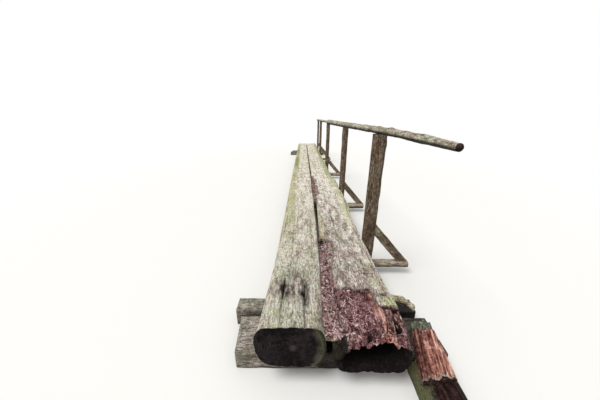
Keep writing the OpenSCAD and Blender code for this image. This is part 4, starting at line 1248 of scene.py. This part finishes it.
def stringy_block(node, wood, section, place, ends, seed, ridge, marks):
    """A torn block: section lists points round it, place puts them at a share of its length,
    and ends is how far each end is splintered."""
    low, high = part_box(node)
    section = np.array(section)
    closed = np.concatenate([section, section[:1]])
    run = np.concatenate([[0], np.cumsum(np.hypot(*np.diff(closed, axis=0).T))])
    at = np.linspace(0, run[-1], 170, endpoint=False)
    shape = np.stack([np.interp(at, run, closed[:, k]) for k in (0, 1)], axis=1)
    t = np.linspace(0, 1, 130)[:, None]
    grid = np.array([place(shape, share) for share in t[:, 0]])
    corner = shape[:1] * 0
    start, end = place(corner, 0.0)[0], place(corner, 1.0)[0]
    strands = grid - (1, 0, 0) * (start + (end - start) * t)[:, None]
    out = outward(grid)
    up = smooth(out[..., 2], -0.3, 0.3)
    fibres = ridge * rough(strands, (0.012, 0.34, 0.012), seed)
    fibres = fibres + 0.4 * ridge * rough(strands, (0.005, 0.08, 0.005), seed + 4)
    splits = drying_checks(strands[..., 0], grid[..., 1], [
        (x, low.y - 0.1, high.y + 0.1, 0.0055, 0.020)
        for x in np.random.default_rng(seed).uniform(0, high.x - low.x, 7)], seed) * up
    values, raised = marks(strands, shape[:, 0], t)
    relief = (fibres - splits) * up * (1 - 0.6 * (raised > 0.004)) + raised - skin_inset
    grid = grid + out * relief[..., None]
    tear = np.maximum(rough(grid * (1, 0, 1), (0.008, 1, 0.012), seed + 6, 2) + 0.5, 0)
    near_tear, far_tear = np.clip(1 - t / 0.16, 0, 1), np.clip((t - 0.84) / 0.16, 0, 1)
    grid[..., 1] += ends[0] * tear * near_tear - ends[1] * tear * far_tear
    grid[..., 2] = np.maximum(grid[..., 2], low.z)
    values["damp"] = np.maximum(values["damp"], 0.9 * np.clip(splits / 0.014, 0, 1))
    values["across"] = strands[..., 0]
    grid, values = closed_ends(grid, values, {"damp": 0.88, "pale": 0.0, "warm": 0.0, "rot": 1.0})
    strands = np.concatenate([values.pop("across")[..., None], grid[..., 1:]], axis=-1)
    skin(node + "_wood", grid, values, wood, [node], strands=strands)


slab_low, slab_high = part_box("fallen_slab")
slab_swing, slab_near_width, slab_far_width, slab_thick = 0.112, 0.213, 0.152, 0.052


def slab_place(shape, t):
    """The slab narrows and swings outwards towards its far end."""
    width = slab_near_width + (slab_far_width - slab_near_width) * t
    y = slab_low.y + (slab_high.y - slab_low.y) * t + (0.016 + 0.018 * shape[:, 0]) * (1 - t)
    return np.stack([slab_low.x + slab_swing * t + width * shape[:, 0], y,
                     slab_low.z + slab_thick * shape[:, 1] * (1 + 0.08 * math.sin(6 * t))], axis=1)


def slab_marks(strands, u, t):
    """Its far third keeps the log's grey-green skin, and a bright ridge of fibres runs down its right."""
    wander = 0.05 * rough(strands, (0.03, 0.12, 0.03), 301)
    skin_left = smooth(t + 0.10 * rough(strands, 0.035, 302), 0.74, 0.78)
    ridge = bell(u, 0.78 + wander, 0.10) * (1 - skin_left)
    torn_edge = smooth(t, 0.042, 0.026)
    values = {"rot": (1 - skin_left) * (1 - 0.65 * torn_edge), "moss": 0.08 * skin_left,
              "warm": np.clip(0.10 + 0.9 * ridge, 0, 1) * (1 - skin_left),
              "damp": np.clip(0.45 * smooth(u + wander, 0.35, 0.10), 0, 1) * (1 - skin_left),
              "pale": np.maximum(torn_edge, 0.6 * ridge)}
    return values, 0.007 * skin_left + 0.006 * ridge


stringy_block("fallen_slab", slab_wood, [
    (0, 0), (0.02, 0.5), (0.1, 0.8), (0.24, 0.95), (0.4, 0.78), (0.6, 0.98), (0.8, 0.92), (0.95, 0.7),
    (1, 0)], slab_place, (0.012, 0.02), 211, 0.006, slab_marks)

chunk_low, chunk_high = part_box("fallen_chunk")
# The same rot soaked through: almost black brown, with a mossy left side
chunk_wood = weathered_wood("damp_rotted_wood", ("#3f3f3a", "#605f58", "#7d7b72", "#a3a194"), 0.1,
                            rot=("#0b0403", "#20110f", "#35221f", "#523b34"), stringy=True)


def chunk_place(shape, t):
    """The chunk widens a little towards its far end."""
    across = 0.5 + (shape[:, 0] - 0.5) * (0.93 + 0.07 * t)
    return np.stack([chunk_low.x + (chunk_high.x - chunk_low.x) * across,
                     chunk_low.y + (chunk_high.y - chunk_low.y) * t + 0 * shape[:, 0],
                     chunk_low.z + (chunk_high.z - chunk_low.z) * shape[:, 1]], axis=1)


def chunk_marks(strands, u, t):
    """It is darker and damper than the slab, and mossy on its left."""
    left = smooth(u + 0.08 * rough(strands, 0.04, 311), 0.26, 0.14) + 0 * t
    return {"rot": 1 - 0.8 * left, "damp": 0.2 + 0.4 * left, "moss": 0.45 * left}, 0 * left


stringy_block("fallen_chunk", chunk_wood, [
    (0, 0), (0, 0.35), (0.1, 0.76), (0.3, 1), (0.7, 1), (0.9, 0.76), (1, 0.35), (1, 0)],
    chunk_place, (0.05, 0.01), 223, 0.006, chunk_marks)
